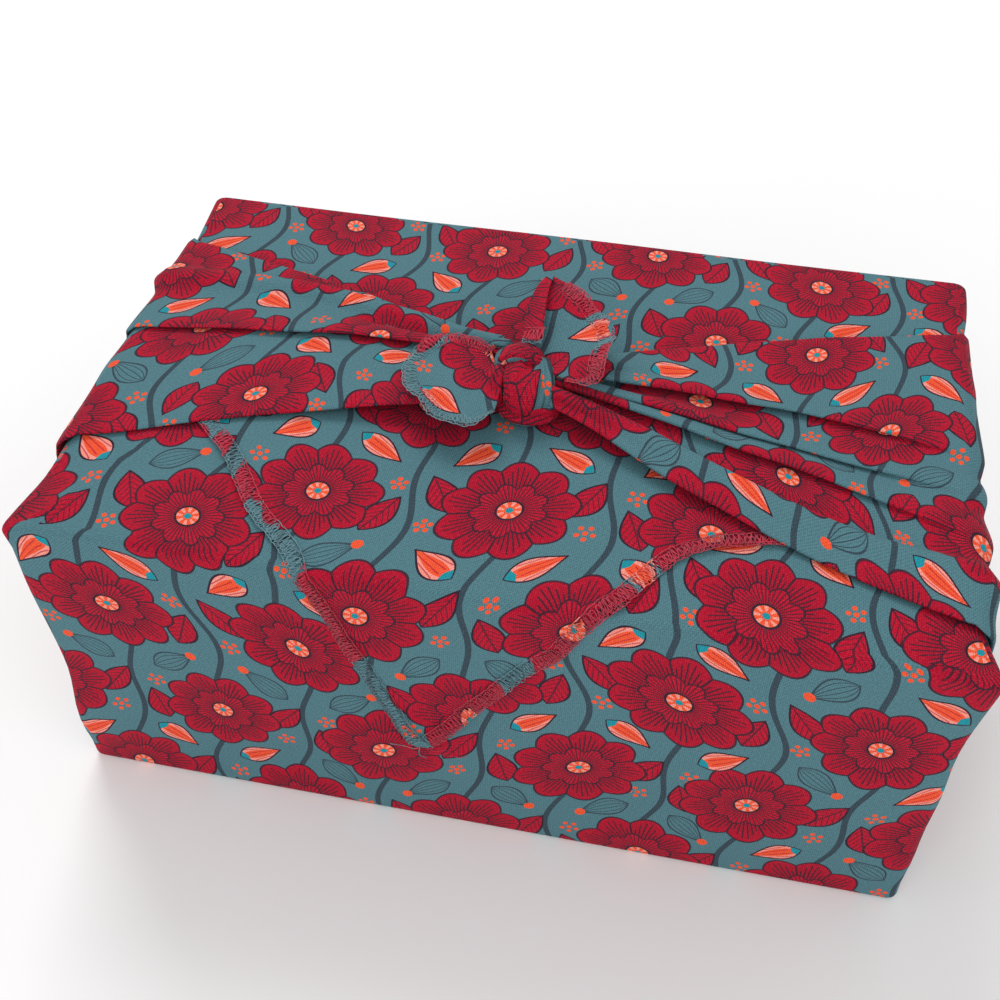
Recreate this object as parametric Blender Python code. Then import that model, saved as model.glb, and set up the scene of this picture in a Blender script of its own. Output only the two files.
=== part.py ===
"""A box-shaped bundle wrapped in one square of cloth, the furoshiki way.

The cloth lies cornerwise. Its front corner is turned up and in over the top, its back corner
is laid over that and hangs down the front, and its left and right corners come up the ends
and are tied on top in a small square knot with two short tails.

The frame: metres, +X right, +Y to the back, +Z up. The origin is under the middle of the
bundle, on the surface that it rests on.
"""

import math

import bmesh
import bpy
import numpy as np

# The bundle, outside of the cloth
LENGTH = 0.290
DEPTH = 0.185
HEIGHT = 0.127

# The cloth, and how its layers lie
WALL = 0.0015  # the bag's sheet
SHEET = 0.0011  # the layers folded over the bag
LAYER_STEP = 0.0022  # from the middle of one layer to the middle of the next

# The bag's rounding, and how far its faces belly out
CORNER_RADIUS = 0.009
BOTTOM_RADIUS = 0.004
RIM_RADIUS = 0.005
BELLY = 0.0012
FLAP_SAG = 0.0012
CORNER_STEPS = 4
SIDE_STEPS = 7
BELLY_SHARES = (0.2, 0.4, 0.6, 0.8)  # of the height, where the belly's rings lie
MOUTH_SHARES = (0.35, 0.7, 1.0)  # of the way from the rim to the mouth

# The mouth in the bag's top, under the back flap
MOUTH_SIDE_INSET = 0.016
MOUTH_BACK_INSET = 0.009
MOUTH_DEPTH = 0.028

# Middle heights of the three layers on top
BAG_TOP = HEIGHT - SHEET / 2 - 2 * LAYER_STEP
FLAP_TOP = BAG_TOP + LAYER_STEP
WING_TOP = FLAP_TOP + LAYER_STEP

# The flap's outline: the station is the run along the cloth from the top's back edge,
# forwards over the top and down the front
FLAP_ROOT = 0.022  # how far it reaches down inside the back wall
FLAP_TIP_HEIGHT = 0.049
FLAP_COLUMNS = 13
FLAP_STEPS = (4, 10, 7)  # inside the back wall, over the top, down the front
FLAP_CLEARS = (0.002, 0.012, 0.008)  # how far the same runs stay from the turns
FLAP_ROWS = (
    # station, left x, right x
    (-0.022, -0.1240, 0.1240),
    (0.0000, -0.1270, 0.1270),
    (0.0300, -0.1325, 0.1325),
    (0.0660, -0.1330, 0.1320),
    (0.0900, -0.1300, 0.1280),
    (0.1315, -0.0980, 0.0850),
    (0.1860, -0.0520, 0.0370),
    (0.2100, -0.0440, 0.0240),
    (0.2400, -0.0300, -0.0030),
    (0.2620, -0.0205, -0.0155),
)

# The wings: each row is a line that runs from the foot of an end, over the rim, to the knot.
# Its y is given at the foot, at the rim, half-way in and at the knot, and its lift over the
# wing's level at the rim, half-way in and at the knot. A foot and a crest close together
# make the step of a pleat.
WING_FOOT = 0.010
WING_LIFT_OFF = 0.030
WING_RISE = 0.0065
WING_RISE_START = 0.065
WING_STEPS = (8, 12)  # up the end, in over the top
WING_CLEARS = (0.004, 0.010)  # how far the same runs stay from the turn
WING_SWING_START = 0.003  # above the foot, where it starts to leave the wall
WING_PAST_KNOT = 0.007  # how far out from the knot's middle it ends
LEFT_WING = (
    # foot y, rim y, mid y, knot y, rim lift, mid lift, knot lift
    (-0.080, -0.057, -0.0295, -0.0190, 0.0000, 0.0000, -0.0005),
    (-0.055, -0.038, -0.0180, -0.0150, 0.0002, 0.0010, 0.0030),
    (-0.025, -0.018, -0.0030, -0.0110, 0.0003, 0.0008, 0.0048),
    (-0.004, -0.003, 0.0075, -0.0085, 0.0002, 0.0003, 0.0040),
    (0.000, 0.000, 0.0100, -0.0070, 0.0007, 0.0018, 0.0062),
    (0.020, 0.015, 0.0200, -0.0045, 0.0002, 0.0006, 0.0050),
    (0.045, 0.030, 0.0340, -0.0020, 0.0009, 0.0012, 0.0058),
    (0.065, 0.045, 0.0385, 0.0000, 0.0002, 0.0006, 0.0030),
    (0.080, 0.059, 0.0425, 0.0020, 0.0000, 0.0002, 0.0000),
)
RIGHT_WING = (
    # foot y, rim y, mid y, knot y, rim lift, mid lift, knot lift
    (-0.080, -0.077, -0.0470, -0.0170, 0.0000, 0.0000, -0.0005),
    (-0.065, -0.064, -0.0340, -0.0150, 0.0004, 0.0010, 0.0024),
    (-0.045, -0.056, -0.0215, -0.0130, 0.0002, 0.0002, 0.0034),
    (-0.042, -0.053, -0.0190, -0.0115, 0.0014, 0.0018, 0.0052),
    (-0.020, -0.026, -0.0165, -0.0095, 0.0002, 0.0004, 0.0044),
    (-0.016, -0.023, -0.0140, -0.0080, 0.0009, 0.0018, 0.0060),
    (-0.004, -0.010, -0.0030, -0.0060, 0.0002, 0.0004, 0.0050),
    (0.010, 0.007, 0.0080, -0.0040, 0.0008, 0.0016, 0.0060),
    (0.040, 0.032, 0.0260, -0.0010, 0.0000, 0.0004, 0.0036),
    (0.080, 0.061, 0.0430, 0.0030, 0.0000, 0.0002, 0.0000),
)

# The knot: its middle, and the wraps that make it
KNOT = (-0.003, -0.008, 0.1355)
KNOT_WRAPS = (
    # x, y, z from the middle, half sizes along, across and up, yaw and tilt in degrees
    (0.0000, 0.0000, 0.0000, 0.0105, 0.0135, 0.0080, 0, 0),
    (0.0005, 0.0085, 0.0050, 0.0110, 0.0055, 0.0045, 8, -10),
    (0.0005, -0.0040, 0.0035, 0.0095, 0.0085, 0.0055, -14, 6),
    (0.0080, -0.0010, 0.0020, 0.0040, 0.0105, 0.0050, 10, 0),
    (0.0020, -0.0125, -0.0025, 0.0090, 0.0045, 0.0045, 4, 0),
)
WRAP_SEGMENTS = 16
WRAP_RINGS = 9

# The two tails: each is a leaf spread out from a point in the knot
TAIL_INNER = 0.004
TAIL_STEPS = 6
LEFT_TAIL_ROOT = (-0.008, -0.009, 0.1392)
LEFT_TAIL = (
    # direction in degrees, reach, height of the end over the root
    (137, 0.016, 0.0010),
    (147, 0.025, 0.0018),
    (157, 0.030, 0.0004),
    (172, 0.034, -0.0012),
    (192, 0.034, -0.0020),
    (215, 0.032, -0.0008),
    (236, 0.029, -0.0026),
    (252, 0.025, -0.0034),
    (264, 0.019, -0.0030),
)
RIGHT_TAIL_ROOT = (0.000, -0.002, 0.1405)
RIGHT_TAIL = (
    # direction in degrees, reach, height of the end over the root
    (-36, 0.018, 0.0010),
    (-24, 0.022, 0.0036),
    (-6, 0.022, 0.0056),
    (15, 0.024, 0.0062),
    (40, 0.026, 0.0050),
    (63, 0.031, 0.0062),
    (78, 0.034, 0.0070),
    (91, 0.037, 0.0050),
    (101, 0.029, 0.0020),
)

CLOTH_COLOUR = (0.105, 0.245, 0.290, 1.0)
CLOTH_ROUGHNESS = 0.72


def clear_scene():
    """Removes every object that the scene starts with."""
    for obj in list(bpy.data.objects):
        bpy.data.objects.remove(obj, do_unlink=True)


def cloth_material():
    """The printed cotton's main colour."""
    material = bpy.data.materials.new("printed_cotton")
    material.use_nodes = True
    shader = material.node_tree.nodes["Principled BSDF"]
    shader.inputs["Base Color"].default_value = CLOTH_COLOUR
    shader.inputs["Roughness"].default_value = CLOTH_ROUGHNESS
    shader.inputs["Metallic"].default_value = 0.0
    return material


def new_object(name, points, faces, thickness=None, offset=0.0):
    """A mesh object, given a thickness by Solidify where one is named."""
    mesh = bpy.data.meshes.new(name)
    mesh.from_pydata([tuple(map(float, point)) for point in points], [], faces)
    shell = bmesh.new()
    shell.from_mesh(mesh)
    bmesh.ops.recalc_face_normals(shell, faces=shell.faces)
    shell.to_mesh(mesh)
    shell.free()
    obj = bpy.data.objects.new(name, mesh)
    bpy.context.scene.collection.objects.link(obj)
    if thickness:
        solidify = obj.modifiers.new("thickness", "SOLIDIFY")
        solidify.thickness = thickness
        solidify.offset = offset
        solidify.use_even_offset = True
    return obj


def as_helper(obj):
    """Marks an object that only lends its shape to a union."""
    obj.hide_render = True
    obj.display_type = "WIRE"
    return obj


def grid_faces(rows, columns, round_columns=False):
    """Quads over a grid of points stored row by row, closed round where asked."""
    last = columns if round_columns else columns - 1
    return [
        (
            row * columns + column,
            row * columns + (column + 1) % columns,
            (row + 1) * columns + (column + 1) % columns,
            (row + 1) * columns + column,
        )
        for row in range(rows - 1)
        for column in range(last)
    ]


def ease(value):
    """Smoothly from 0 to 1, level at both ends."""
    value = np.clip(value, 0.0, 1.0)
    return value * value * (3.0 - 2.0 * value)


def through_three(first, middle, last, run):
    """The parabola through three values at run 0, a half and 1."""
    return (
        first * (1.0 - run) * (1.0 - 2.0 * run)
        + 4.0 * middle * run * (1.0 - run)
        + last * run * (2.0 * run - 1.0)
    )


def arc(centre_a, centre_b, radius, start, end, steps):
    """Points on an arc in a plane, as two arrays, from one angle to another in degrees."""
    angles = np.radians(np.linspace(start, end, steps))
    return centre_a + radius * np.cos(angles), centre_b + radius * np.sin(angles)


def rounded_outline(left, right, front, back, radius):
    """A rounded rectangle seen from above, as an array of x, y, anticlockwise."""
    corners = (
        (right - radius, back - radius, 0),
        (left + radius, back - radius, 90),
        (left + radius, front + radius, 180),
        (right - radius, front + radius, 270),
    )
    points = []
    for x, y, start in corners:
        xs, ys = arc(x, y, radius, start, start + 90, CORNER_STEPS)
        points.extend(zip(xs, ys))
    filled = []
    for here, there in zip(points, points[1:] + points[:1]):
        here, there = np.array(here), np.array(there)
        far = np.linalg.norm(there - here) > 2 * radius
        steps = SIDE_STEPS if far else 1
        filled.extend(here + (there - here) * i / steps for i in range(steps))
    return np.array(filled)


def bag():
    """The bottom, the four sides and the front corner turned in over the top, with a mouth."""
    half_x = LENGTH / 2 - LAYER_STEP
    front = -DEPTH / 2 + FLAP_SAG + LAYER_STEP
    back = DEPTH / 2
    top = BAG_TOP + WALL / 2
    rings = []

    def add_ring(inset, height, radius):
        outline = rounded_outline(
            -half_x + inset, half_x - inset, front + inset, back - inset, radius
        )
        rings.append(np.column_stack([outline, np.full(len(outline), height)]))

    insets, heights = arc(
        BOTTOM_RADIUS, BOTTOM_RADIUS, BOTTOM_RADIUS, 270, 180, CORNER_STEPS
    )
    for inset, height in zip(insets, heights):
        add_ring(inset + BELLY, height, CORNER_RADIUS)
    for share in BELLY_SHARES:
        belly = BELLY * (1.0 - math.sin(math.pi * share))
        add_ring(belly, top * share, CORNER_RADIUS)
    insets, heights = arc(
        RIM_RADIUS, top - RIM_RADIUS, RIM_RADIUS, 180, 90, CORNER_STEPS
    )
    for inset, height in zip(insets, heights):
        add_ring(inset + BELLY, height, CORNER_RADIUS)

    mouth = rounded_outline(
        -half_x + MOUTH_SIDE_INSET,
        half_x - MOUTH_SIDE_INSET,
        back - MOUTH_BACK_INSET - MOUTH_DEPTH,
        back - MOUTH_BACK_INSET,
        RIM_RADIUS,
    )
    rim = rings[-1]
    for share in MOUTH_SHARES:
        ring = rim.copy()
        ring[:, :2] += (mouth - rim[:, :2]) * share
        rings.append(ring)

    columns = len(mouth)
    faces = grid_faces(len(rings), columns, round_columns=True)
    faces.append(tuple(range(columns)))
    return new_object("furoshiki_cloth", np.vstack(rings), faces, WALL, -1.0)


def flap_path():
    """The flap's run from inside the back wall to its tip: station, y and z as arrays."""
    back = DEPTH / 2 - WALL / 2 - BELLY / 2
    front = -DEPTH / 2 + SHEET / 2 + FLAP_SAG
    turn = RIM_RADIUS
    up_steps, top_steps, down_steps = FLAP_STEPS
    up_clear, top_clear, down_clear = FLAP_CLEARS
    up_y = np.full(up_steps, back)
    up_z = np.linspace(FLAP_TOP - FLAP_ROOT, FLAP_TOP - turn - up_clear, up_steps)
    back_y, back_z = arc(back - turn, FLAP_TOP - turn, turn, 0, 90, CORNER_STEPS)
    top_y = np.linspace(back - turn - top_clear, front + turn + top_clear, top_steps)
    top_z = np.full(top_steps, FLAP_TOP)
    front_y, front_z = arc(front + turn, FLAP_TOP - turn, turn, 90, 180, CORNER_STEPS)
    down_z = np.linspace(FLAP_TOP - turn - down_clear, FLAP_TIP_HEIGHT, down_steps)
    down_y = front - FLAP_SAG * np.sin(np.linspace(0, math.pi, down_steps))
    y = np.concatenate([up_y, back_y, top_y, front_y, down_y])
    z = np.concatenate([up_z, back_z, top_z, front_z, down_z])
    run = np.concatenate([[0.0], np.cumsum(np.hypot(np.diff(y), np.diff(z)))])
    return run - FLAP_ROOT, y, z


def flap():
    """The back corner of the cloth, laid over the top and hanging down the front."""
    station, y, z = flap_path()
    station_column, left_column, right_column = np.array(FLAP_ROWS).T
    left = np.interp(station, station_column, left_column)
    right = np.interp(station, station_column, right_column)
    across = np.linspace(0.0, 1.0, FLAP_COLUMNS)
    x = left[:, None] + (right - left)[:, None] * across
    points = np.stack(
        [x, np.broadcast_to(y[:, None], x.shape), np.broadcast_to(z[:, None], x.shape)], -1
    )
    faces = grid_faces(*x.shape)
    return as_helper(new_object("flap", points.reshape(-1, 3), faces, SHEET))


def wing(name, side, table):
    """One end corner of the cloth: up the end from its foot, over the rim, in to the knot.

    The side is -1 for the left wing and 1 for the right one.
    """
    foot, rim, middle, knot, rim_lift, middle_lift, knot_lift = np.array(table).T
    in_wall = LENGTH / 2 - LAYER_STEP - WALL / 2 - BELLY / 2
    outside = LENGTH / 2 - SHEET / 2
    turn = RIM_RADIUS + LAYER_STEP
    end = side * KNOT[0] + WING_PAST_KNOT
    side_steps, top_steps = WING_STEPS
    side_clear, top_clear = WING_CLEARS

    side_z = np.linspace(WING_FOOT, WING_TOP - turn - side_clear, side_steps)
    side_x = in_wall + (outside - in_wall) * ease(
        (side_z - WING_FOOT - WING_SWING_START) / (WING_LIFT_OFF - WING_FOOT)
    )
    rim_x, rim_z = arc(outside - turn, WING_TOP - turn, turn, 0, 90, CORNER_STEPS + 1)
    top_x = np.linspace(outside - turn - top_clear, end, top_steps)
    top_z = np.full(top_steps, WING_TOP)
    out = np.concatenate([side_x, rim_x, top_x])
    up = np.concatenate([side_z, rim_z, top_z])

    climb = np.clip((up - WING_FOOT) / (WING_TOP - WING_FOOT), 0.0, 1.0)[:, None]
    inwards = np.clip((outside - out) / (outside - end), 0.0, 1.0)[:, None]
    on_side = foot + (rim - foot) * climb
    y = np.where(climb < 1.0, on_side, through_three(rim, middle, knot, inwards))
    lift = through_three(rim_lift, middle_lift, knot_lift, inwards) * ease(climb * 4.0 - 3.0)
    rise = WING_RISE * ease(1.0 - (out - end) / WING_RISE_START)[:, None]
    z = up[:, None] + lift + rise
    x = np.broadcast_to(side * out[:, None], y.shape)
    faces = grid_faces(*y.shape)
    points = np.stack([x, y, z], -1).reshape(-1, 3)
    return as_helper(new_object(name, points, faces, SHEET))


def knot_wraps():
    """The rounded wraps of the square knot, each a squashed ball turned to its place."""
    wraps = []
    for number, row in enumerate(KNOT_WRAPS, 1):
        offset, halves, yaw, tilt = row[:3], row[3:6], row[6], row[7]
        ball = bmesh.new()
        bmesh.ops.create_uvsphere(
            ball, u_segments=WRAP_SEGMENTS, v_segments=WRAP_RINGS, radius=1.0
        )
        mesh = bpy.data.meshes.new(f"wrap_{number}")
        ball.to_mesh(mesh)
        ball.free()
        wrap = bpy.data.objects.new(f"wrap_{number}", mesh)
        wrap.location = [middle + shift for middle, shift in zip(KNOT, offset)]
        wrap.scale = halves
        wrap.rotation_euler = (math.radians(tilt), 0.0, math.radians(yaw))
        bpy.context.scene.collection.objects.link(wrap)
        wraps.append(as_helper(wrap))
    return wraps


def tail(name, root, table):
    """A short tail: a leaf of cloth that fans out from a point in the knot."""
    direction, reach, height = np.array(table).T
    direction = np.radians(direction)[:, None]
    share = np.linspace(0.0, 1.0, TAIL_STEPS)
    radius = TAIL_INNER + (reach[:, None] - TAIL_INNER) * share
    x = root[0] + radius * np.cos(direction)
    y = root[1] + radius * np.sin(direction)
    z = root[2] + height[:, None] * ease(share)
    faces = grid_faces(*x.shape)
    points = np.stack([x, y, z], -1).reshape(-1, 3)
    return as_helper(new_object(name, points, faces, SHEET))


def join(base, pieces):
    """Makes one solid of the cloth by a chain of unions."""
    for piece in pieces:
        union = base.modifiers.new(f"with_{piece.name}", "BOOLEAN")
        union.operation = "UNION"
        union.solver = "EXACT"
        union.object = piece


def main():
    clear_scene()
    cloth = bag()
    cloth.data.materials.append(cloth_material())
    pieces = [
        tail("left_tail", LEFT_TAIL_ROOT, LEFT_TAIL),
        tail("right_tail", RIGHT_TAIL_ROOT, RIGHT_TAIL),
        flap(),
        wing("left_wing", -1, LEFT_WING),
        wing("right_wing", 1, RIGHT_WING),
        *knot_wraps(),
    ]
    join(cloth, pieces)


main()
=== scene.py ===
"""Looks of a furoshiki wrap: one square of printed cotton tied round a box-shaped bundle.

The cloth is one sheet with real folds. Its front corner goes up and in over the top (part of
the bag), its back corner is laid over that as a flap with serged edges, and its end corners
come up the ends as wings, gather in pleats and meet in a small square knot with two tails.
All sizes are in metres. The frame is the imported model's: +X right, +Y back, +Z up.
"""

import logging
import math
from dataclasses import dataclass, field
from enum import Enum
from typing import Any, Callable, Sequence

import bpy
import numpy as np
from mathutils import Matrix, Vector


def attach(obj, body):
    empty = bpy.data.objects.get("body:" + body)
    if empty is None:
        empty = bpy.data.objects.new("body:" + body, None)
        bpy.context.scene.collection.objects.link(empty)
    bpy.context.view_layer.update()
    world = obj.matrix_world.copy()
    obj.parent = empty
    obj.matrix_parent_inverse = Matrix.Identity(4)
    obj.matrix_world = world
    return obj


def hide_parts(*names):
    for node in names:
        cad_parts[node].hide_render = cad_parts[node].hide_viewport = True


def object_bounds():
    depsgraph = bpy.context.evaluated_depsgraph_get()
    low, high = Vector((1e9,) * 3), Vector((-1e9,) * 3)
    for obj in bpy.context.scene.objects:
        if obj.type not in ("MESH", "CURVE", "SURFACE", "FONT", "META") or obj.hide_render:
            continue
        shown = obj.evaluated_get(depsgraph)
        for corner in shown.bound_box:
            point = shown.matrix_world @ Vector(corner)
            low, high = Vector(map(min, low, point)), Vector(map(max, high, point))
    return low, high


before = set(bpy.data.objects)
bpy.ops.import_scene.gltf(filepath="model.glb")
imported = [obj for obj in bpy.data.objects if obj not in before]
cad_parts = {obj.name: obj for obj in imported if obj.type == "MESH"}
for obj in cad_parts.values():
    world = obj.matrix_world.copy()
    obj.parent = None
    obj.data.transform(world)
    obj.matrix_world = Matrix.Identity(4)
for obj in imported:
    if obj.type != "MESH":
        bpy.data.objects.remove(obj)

CAD_LOW, CAD_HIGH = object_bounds()
LOG = logging.getLogger("furoshiki")

LENGTH = CAD_HIGH.x - CAD_LOW.x
DEPTH = CAD_HIGH.y - CAD_LOW.y
TOP = 0.1273  # the level on which the wings lie
CLOTH_THICK = 0.00035
TWO_PI = 2.0 * math.pi

Array = np.ndarray


class Side(Enum):
    """Which end of the bundle a piece belongs to; the value is the sign of its x."""

    LEFT = -1
    RIGHT = 1


# Curves and patches


def ease(value: Array) -> Array:
    """Goes from 0 to 1 as three squares less two cubes, level at both ends.

    Args:
        value: The run, of which anything outside 0 to 1 is cut off.

    Returns:
        The eased run.
    """
    value = np.clip(value, 0.0, 1.0)
    return value * value * (3.0 - 2.0 * value)


def bump(distance: Array, width: float) -> Array:
    """A soft round ridge: the bell curve exp(-(distance / width) squared).

    Args:
        distance: How far each point is from the ridge's line.
        width: How far out the ridge falls to about a third.

    Returns:
        The height of the ridge, 1 on its line.
    """
    return np.exp(-((distance / width) ** 2))


def ripple(x: Array, y: Array, seed: int, pitch: float, waves: int = 9) -> Array:
    """Soft unevenness: a sum of plane waves of about one pitch in directions drawn by a seed.

    Args:
        x: First coordinate of each point.
        y: Second coordinate of each point.
        seed: Seed of the draw.
        pitch: Mean wavelength.
        waves: How many waves are added.

    Returns:
        Heights with a standard deviation of about 1.
    """
    draw = np.random.default_rng(seed)
    total = np.zeros(np.broadcast(x, y).shape)
    for _ in range(waves):
        heading, phase = draw.uniform(0.0, TWO_PI, 2)
        wave = TWO_PI / (pitch * draw.uniform(0.6, 1.7))
        total += np.sin(wave * (x * math.cos(heading) + y * math.sin(heading)) + phase)
    return total * math.sqrt(2.0 / waves)


def spline_weights(count: int, samples: int, degree: int = 3) -> Array:
    """Weights of a clamped uniform B-spline, by the Cox and de Boor recurrence.

    Args:
        count: Number of control values.
        samples: Number of places along the curve, spread evenly over its parameter.
        degree: Degree of the spline.

    Returns:
        A matrix of samples by control values, each row adding up to 1.
    """
    inner = np.linspace(0.0, 1.0, count - degree + 1)
    knots = np.concatenate([np.zeros(degree), inner, np.ones(degree)])
    place = np.linspace(0.0, 1.0 - 1e-9, samples)[:, None]
    basis = ((place >= knots[:-1]) & (place < knots[1:])).astype(float)
    for order in range(1, degree + 1):
        left = knots[order:-1] - knots[: -order - 1]
        right = knots[order + 1 :] - knots[1:-order]
        rise = (place - knots[: -order - 1]) / np.where(left > 0, left, 1.0)
        fall = (knots[order + 1 :] - place) / np.where(right > 0, right, 1.0)
        basis = rise * (left > 0) * basis[:, :-1] + fall * (right > 0) * basis[:, 1:]
    return basis


def smooth_through(points: Array, samples: int) -> Array:
    """A curve through a few points, as a Catmull-Rom spline with even steps along it.

    Args:
        points: The points, one a row.
        samples: Number of points wanted.

    Returns:
        The curve's points at equal steps of length.
    """
    points = np.asarray(points, float)
    padded = np.vstack([2 * points[0] - points[1], points, 2 * points[-1] - points[-2]])
    run = np.linspace(0.0, len(points) - 1 - 1e-9, samples * 4)
    start = run.astype(int)
    t = (run - start)[:, None]
    a, b, c, d = (padded[start + shift] for shift in range(4))
    curve = 0.5 * (
        2 * b + (c - a) * t + (2 * a - 5 * b + 4 * c - d) * t**2 + (3 * b - a - 3 * c + d) * t**3
    )
    return even_steps(curve, samples)


def lengths(points: Array, axis: int = 0) -> Array:
    """Length run along a line of points, starting at 0.

    Args:
        points: Points, with x, y and z on the last axis.
        axis: The axis that runs along the line.

    Returns:
        The running length, of the shape of the points without their last axis.
    """
    steps = np.linalg.norm(np.diff(points, axis=axis), axis=-1)
    start = np.zeros_like(np.take(steps, [0], axis=axis))
    return np.concatenate([start, np.cumsum(steps, axis=axis)], axis=axis)


def even_steps(curve: Array, samples: int) -> Array:
    """Reads a curve again at equal steps of its length.

    Args:
        curve: The curve's points, one a row.
        samples: Number of points wanted.

    Returns:
        The points at equal steps.
    """
    run = lengths(curve)
    wanted = np.linspace(0.0, run[-1], samples)
    return np.stack([np.interp(wanted, run, column) for column in curve.T], -1)


def unit(vectors: Array) -> Array:
    """Vectors brought to length 1."""
    return vectors / np.maximum(np.linalg.norm(vectors, axis=-1, keepdims=True), 1e-12)


@dataclass
class Patch:
    """A piece of surface: its points, its faces and each face corner's place on the flat cloth."""

    points: Array
    faces: Array
    corner_uv: Array

    @staticmethod
    def from_grid(points: Array, uv: Array) -> "Patch":
        """Makes quads over a grid.

        Args:
            points: Points by rows and columns, with x, y and z last.
            uv: The flat place of each point, by rows and columns.

        Returns:
            The patch.
        """
        rows, columns = points.shape[:2]
        index = np.arange(rows * columns).reshape(rows, columns)
        quads = np.stack(
            [index[:-1, :-1], index[:-1, 1:], index[1:, 1:], index[1:, :-1]], -1
        ).reshape(-1, 4)
        return Patch(points.reshape(-1, 3), quads, uv.reshape(-1, 2)[quads])


def merged(patches: Sequence[Patch]) -> Patch:
    """All of some patches as one.

    Args:
        patches: The patches, in order.

    Returns:
        The one patch.
    """
    starts = np.cumsum([0] + [len(patch.points) for patch in patches[:-1]])
    return Patch(
        np.vstack([patch.points for patch in patches]),
        np.vstack([patch.faces + start for patch, start in zip(patches, starts)]),
        np.vstack([patch.corner_uv for patch in patches]),
    )


def mesh_object(name: str, patch: Patch) -> bpy.types.Object:
    """Puts a patch into a new smooth mesh object at the origin, with its flat places as UVs.

    Args:
        name: The object's name.
        patch: The surface.

    Returns:
        The object, linked to the scene.
    """
    mesh = bpy.data.meshes.new(name)
    count, sides = patch.faces.shape
    mesh.vertices.add(len(patch.points))
    mesh.vertices.foreach_set("co", patch.points.astype(np.float32).ravel())
    mesh.loops.add(count * sides)
    mesh.loops.foreach_set("vertex_index", patch.faces.astype(np.int32).ravel())
    mesh.polygons.add(count)
    mesh.polygons.foreach_set("loop_start", np.arange(0, count * sides, sides, dtype=np.int32))
    mesh.update(calc_edges=True)
    layer = mesh.uv_layers.new(name="cloth")
    layer.uv.foreach_set("vector", patch.corner_uv.astype(np.float32).ravel())
    mesh.polygons.foreach_set("use_smooth", np.ones(count, bool))
    mesh.validate()
    obj = bpy.data.objects.new(name, mesh)
    bpy.context.scene.collection.objects.link(obj)
    return obj


# Shader expressions


class Board:
    """A material's node tree, with one method that adds every node."""

    def __init__(self, name: str) -> None:
        """Starts a material with only its Principled shader and output."""
        self.material = bpy.data.materials.new(name)
        self.material.use_nodes = True
        self.tree = self.material.node_tree
        self.shader = self.tree.nodes["Principled BSDF"]

    def node(self, kind: str, settings: dict[str, Any], inputs: dict[Any, Any]) -> bpy.types.Node:
        """Adds a node.

        Args:
            kind: The node's type.
            settings: Attributes, set before the sockets.
            inputs: A value, a socket or a Signal for each socket, by its name or number.

        Returns:
            The node.
        """
        node = self.tree.nodes.new(kind)
        for name, value in settings.items():
            setattr(node, name, value)
        for key, value in inputs.items():
            value = value.socket if isinstance(value, Signal) else value
            if isinstance(value, bpy.types.NodeSocket):
                self.tree.links.new(value, node.inputs[key])
            else:
                node.inputs[key].default_value = value
        return node

    def feed(self, socket: str, value: Any) -> None:
        """Feeds one of the shader's sockets with a constant, a socket or a Signal.

        Args:
            socket: The socket's name.
            value: What it gets.
        """
        value = value.socket if isinstance(value, Signal) else value
        if isinstance(value, bpy.types.NodeSocket):
            self.tree.links.new(value, self.shader.inputs[socket])
        else:
            self.shader.inputs[socket].default_value = value

    def colour_mix(self, mask: Any, under: Any, over: Any, blend: str = "MIX") -> bpy.types.NodeSocket:
        """Lays one colour over another where a mask says.

        Args:
            mask: How much of the upper colour shows, 0 to 1.
            under: The lower colour.
            over: The upper colour.
            blend: How the two are blended.

        Returns:
            The mixed colour's socket.
        """
        settings = {"data_type": "RGBA", "blend_type": blend}
        return self.node("ShaderNodeMix", settings, {0: mask, 6: under, 7: over}).outputs[2]


def shader_method(operation: str, swapped: bool = False) -> Callable[..., "Signal"]:
    """A method that adds a Math node of a Signal and whatever other values it is given.

    Args:
        operation: The node's operation.
        swapped: Whether the Signal comes last, as in a reflected operator.

    Returns:
        The method.
    """

    def method(self: "Signal", *others: Any) -> "Signal":
        """Adds the node and wraps its result."""
        return self.math(operation, *((*others, self) if swapped else (self, *others)))

    return method


class Signal:
    """A number that changes over the surface, with operators that add Math nodes."""

    def __init__(self, board: Board, socket: bpy.types.NodeSocket) -> None:
        """Wraps a socket of a board."""
        self.board = board
        self.socket = socket

    def math(self, operation: str, *values: Any) -> "Signal":
        """Adds one Math node.

        Args:
            operation: The node's operation.
            values: The node's inputs, in order.

        Returns:
            Its result.
        """
        settings = {"operation": operation}
        node = self.board.node("ShaderNodeMath", settings, dict(enumerate(values)))
        return Signal(self.board, node.outputs[0])

    __add__ = __radd__ = shader_method("ADD")
    __sub__ = shader_method("SUBTRACT")
    __rsub__ = shader_method("SUBTRACT", swapped=True)
    __mul__ = __rmul__ = shader_method("MULTIPLY")
    __truediv__ = shader_method("DIVIDE")
    __lt__ = shader_method("LESS_THAN")
    __gt__ = shader_method("GREATER_THAN")
    __abs__ = shader_method("ABSOLUTE")
    most = shader_method("MAXIMUM")
    floor = shader_method("FLOOR")
    wrapped = shader_method("FLOORED_MODULO")
    sine = shader_method("SINE")
    cosine = shader_method("COSINE")
    root = shader_method("SQRT")

    def turned_by(self, other: "Signal", degrees: float) -> tuple["Signal", "Signal"]:
        """Coordinates in axes turned by an angle.

        Args:
            other: The second coordinate; this one is the first.
            degrees: How far the axes are turned.

        Returns:
            The coordinates along and across the turned first axis.
        """
        cosine, sine = math.cos(math.radians(degrees)), math.sin(math.radians(degrees))
        return self * cosine + other * sine, other * cosine - self * sine


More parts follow.
